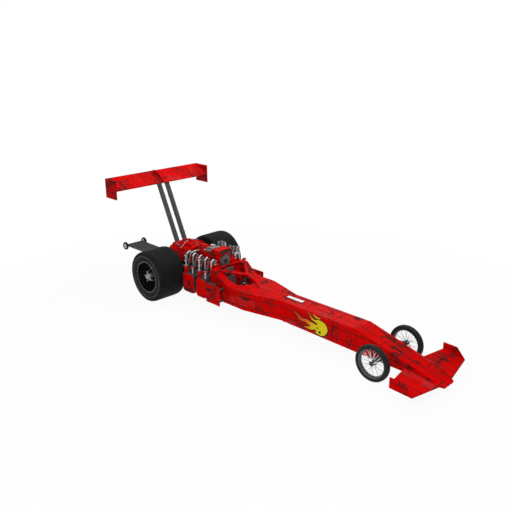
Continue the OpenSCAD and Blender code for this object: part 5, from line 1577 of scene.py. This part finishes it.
def chute_packs():
    """A stuffed nylon pack on each side of the tail, its straps, buckles and release cable."""
    low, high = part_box("parachute_packs")
    straps, steel, flap = Kit(), Kit(), Kit()
    for side in (LEFT, RIGHT):
        inner, outer = sorted((side * 0.218, side * 0.324))
        stuffed("chute_pack_" + SIDES[side], (inner, low.y + 0.010, low.z + 0.010),
                (outer, high.y - 0.012, high.z - 0.012), 0.003, "cloth",
                [(1, -0.085), (1, 0.085)], 0.008, 0.026, replaces=["parachute_packs"])
        for share in (0.24, 0.76):
            y = low.y + (high.y - low.y) * share
            ring = [(0.212, 0.420), (0.212, 0.590), (0.222, 0.6035), (0.320, 0.6035), (0.3315, 0.590),
                    (0.3315, 0.416),
                    (0.320, 0.4005), (0.222, 0.4005)]
            points = [Vector((side * x, y, z)) for x, z in ring]
            centre = Vector((side * 0.271, y, 0.502))
            points.append(points[0])
            straps.strip(points, [(p - centre) for p in points], 0.030, 0.0018)
            steel.box((side * 0.3345 - 0.002, y - 0.021, 0.500), (side * 0.3345 + 0.002, y + 0.021, 0.532),
                      0.001)
        flap.strip([Vector((side * 0.222, high.y - 0.004, 0.560)),
                    Vector((side * 0.271, high.y - 0.001, 0.566)),
                    Vector((side * 0.320, high.y - 0.004, 0.560))], [(0, 1, 0)] * 3, 0.070, 0.0025)
        flap.tube(smooth_line([(side * 0.226, high.y - 0.003, 0.432), (side * 0.271, high.y - 0.0005, 0.445),
                               (side * 0.316, high.y - 0.003, 0.432)], 12), 0.0045, 8)
        steel.rod((side * 0.271, high.y - 0.006, 0.512), (side * 0.271, high.y - 0.0005, 0.512), 0.013, 20,
                  None, 0.001)
        straps.tube(smooth_line([(side * 0.240, low.y + 0.03, 0.602), (side * 0.232, low.y - 0.01, 0.618),
                                 (side * 0.215, low.y - 0.05, 0.634), (side * 0.205, low.y - 0.10, 0.645)],
                                16),
                    0.0042, 8)
    all_done(("chute_straps", straps, "belt", "pack_fabric"), ("chute_buckles", steel, "steel",
                                                               "bright_metal"),
             ("chute_flaps", flap, "cloth", "pack_fabric"))


# ---------------------------------------------------------------- painted decoration


def painted(name, outlines, plane, material, lift, smooth=8):
    """Closed painted shapes on a flat panel, from a few points each."""
    verts, faces = [], []
    for ring in outlines:
        count = len(ring)
        curve = []
        for i in range(count):
            a, b, c, d = (Vector((*ring[(i + k) % count], 0)) for k in (-1, 0, 1, 2))
            for s in range(smooth):
                curve.append(spline(a, b, c, d, s / smooth))
        points = [(p.x, p.y) for p in curve]
        start, n = len(verts), len(points)
        verts += [plane @ Vector((x, y, z)) for z in (lift, lift - 0.0006) for x, y in points]
        faces += [tuple(start + i for i in tri) for tri in plan(points)]
        faces += [(start + i, start + (i + 1) % n, start + n + (i + 1) % n, start + n + i) for i in range(n)]
    return shaped(name, verts, faces, material, "chassis", smooth=False)


FLAME = [(-3.552, 0.330), (-3.540, 0.390), (-3.496, 0.438), (-3.432, 0.462), (-3.366, 0.462), (-3.296, 0.444),
         (-3.236, 0.472), (-3.182, 0.506), (-3.222, 0.446), (-3.262, 0.418), (-3.316, 0.408), (-3.356, 0.384),
         (-3.330, 0.366), (-3.270, 0.378), (-3.206, 0.384), (-3.140, 0.402), (-3.076, 0.394), (-3.020, 0.398),
         (-2.952, 0.440), (-2.862, 0.462), (-2.926, 0.412), (-2.976, 0.362), (-3.044, 0.340), (-3.110, 0.346),
         (-3.164, 0.330), (-3.214, 0.306), (-3.170, 0.288), (-3.128, 0.284), (-3.084, 0.262), (-3.146, 0.254),
         (-3.206, 0.250), (-3.262, 0.262), (-3.304, 0.282), (-3.340, 0.262), (-3.316, 0.238), (-3.370, 0.222),
         (-3.446, 0.218), (-3.512, 0.256)]
LICK = [[(-3.418, 0.506), (-3.366, 0.498), (-3.322, 0.510), (-3.256, 0.532), (-3.306, 0.488),
         (-3.372, 0.476)],
        [(-3.236, 0.508), (-3.206, 0.524), (-3.150, 0.536), (-3.190, 0.512)]]


def grown(ring, amount):
    """An outline pushed outwards all round."""
    count, out = len(ring), []
    area = sum(x0 * y1 - x1 * y0 for (x0, y0), (x1, y1) in zip(ring, ring[1:] + ring[:1]))
    turn = 1 if area > 0 else -1
    for i in range(count):
        before, after = Vector(ring[i - 1]), Vector(ring[(i + 1) % count])
        ahead = (after - before).normalized()
        out.append((ring[i][0] + ahead.y * amount * turn, ring[i][1] - ahead.x * amount * turn))
    return out


def decoration():
    """Traditional flames on both flanks of the fore body and a plain white band on the deck."""
    moved = [[(y_at(y), z) for y, z in ring] for ring in [FLAME] + LICK]
    holes = [ring_points(y_at(-3.404), 0.262, 0.021, 10), ring_points(y_at(-3.352), 0.322, 0.013, 10)]
    for side in (LEFT, RIGHT):
        flip = Matrix.Translation((side * 0.190, 0, 0)) @ Matrix.Scale(side, 4, (1, 0, 0)) @ side_plane(0)
        painted("flame_shadow_" + SIDES[side],
                [grown(moved[0], 0.016)] + [grown(m, 0.009) for m in moved[1:]], flip,
                "maroon", 0.0006)
        painted("flame_" + SIDES[side], moved, flip, "flame", 0.0012)
        painted("flame_hollows_" + SIDES[side], holes, flip, "maroon", 0.0018)
    deck = Matrix.Translation((0.030, y_at(-2.710), 0.545))
    bar = [(-0.032, -0.160), (0.0, -0.163), (0.032, -0.160), (0.034, -0.08), (0.034, 0.08), (0.032, 0.160),
           (0.0, 0.163),
           (-0.032, 0.160), (-0.034, 0.08), (-0.034, -0.08)]
    painted("white_band", [bar], deck, "white", 0.0022)


cockpit_pads()
cockpit_trim()
hand_wheel()
chute_packs()
decoration()

# ---------------------------------------------------------------- floor, light and camera


def camera_rays(net):
    """1 for rays from the camera, in mirrors and through glass; and 1 for rays from the camera only."""
    node = net.tree.nodes.new("ShaderNodeLightPath")
    seen, gloss, through = (Sock(net, node.outputs[n]) for n in
                            ("Is Camera Ray", "Is Glossy Ray", "Is Transmission Ray"))
    return seen.top(gloss).top(through), seen


def studio():
    """A pale floor, an even pale surround and four soft lamps."""
    low = cad_box[0]
    floor = bpy.data.objects.new("floor", bpy.data.meshes.new("floor"))
    bpy.context.scene.collection.objects.link(floor)
    reach = 40
    corners = [(x * reach, y * reach, low.z) for x, y in ((-1, -1), (1, -1), (1, 1), (-1, 1))]
    floor.data.from_pydata(corners, [], [(0, 1, 2, 3)])
    net = Net("pale_floor")
    where = net.place()
    mottle = net.noise(where, 0.6, 2.0)
    net.set(Base_Color=net.blend(mottle * 0.1, (0.80, 0.80, 0.80), (0.76, 0.76, 0.76)), Roughness=0.9)
    x, y, _ = net.split(where)
    far = (x * x + y * y).between(9.0, 42.0)
    seen = camera_rays(net)[0]
    glow = net.make("ShaderNodeEmission", {}, {"Color": (1.0, 1.0, 1.0), "Strength": 1.0})
    white = (0.94 + 0.06 * far) * seen
    both = net.make("ShaderNodeMixShader", {}, {0: white, 1: Sock(net, net.shader.outputs[0]), 2: glow})
    out = next(n for n in net.tree.nodes if n.type == "OUTPUT_MATERIAL")
    net.feed(out.inputs["Surface"], both)
    floor.data.materials.append(net.material)

    world = bpy.data.worlds.new("studio")
    bpy.context.scene.world = world
    world.use_nodes = True
    sky = Net.__new__(Net)
    sky.tree, sky.spot = world.node_tree, 0
    seen, first = camera_rays(sky)
    back = next(n for n in world.node_tree.nodes if n.type == "BACKGROUND")
    sky.feed(back.inputs["Strength"], sky.make("ShaderNodeMix", {"data_type": "FLOAT"},
                                               {0: first, 2: sky.make("ShaderNodeMix", {"data_type": "FLOAT"},
                                                                      {0: seen, 2: 0.30, 3: 0.75}), 3: 1.0}))
    back.inputs["Color"].default_value = (1, 1, 1, 1)

    for name, at, aim, size, power in (
            ("key", (-4.6, -4.8, 6.4), (0, -0.2, 0.5), 3.2, 300.0),
            ("top", (1.2, 1.0, 7.0), (0, 0, 0.6), 5.0, 230.0),
            ("fill", (-6.5, 3.5, 2.6), (0, 0.6, 0.8), 3.0, 40.0),
            ("rim", (6.0, 2.5, 4.5), (0, 0, 0.8), 3.0, 90.0)):
        lamp = bpy.data.lights.new(name, "AREA")
        lamp.energy, lamp.size = power, size
        lamp_object = bpy.data.objects.new(name, lamp)
        bpy.context.scene.collection.objects.link(lamp_object)
        lamp_object.location = at
        lamp_object.rotation_euler = (Vector(aim) - Vector(at)).to_track_quat("-Z", "Y").to_euler()


def photographer():
    """The camera: front right of the car, a little above it."""
    low, high = cad_box
    aim = (low + high) / 2
    turn, rise, distance = math.radians(-45.2), math.radians(19.17), 10.5
    back = Vector((math.sin(turn) * math.cos(rise), -math.cos(turn) * math.cos(rise), math.sin(rise)))
    lens = bpy.data.cameras.new("camera")
    lens.lens, lens.sensor_width = 43.76, 36.0
    lens.clip_end = 200.0
    camera = bpy.data.objects.new("camera", lens)
    bpy.context.scene.collection.objects.link(camera)
    camera.location = aim + back * distance
    camera.rotation_euler = (-back).to_track_quat("-Z", "Y").to_euler()
    bpy.context.scene.camera = camera


photographer()
studio()
bpy.context.scene.view_settings.view_transform = "Standard"
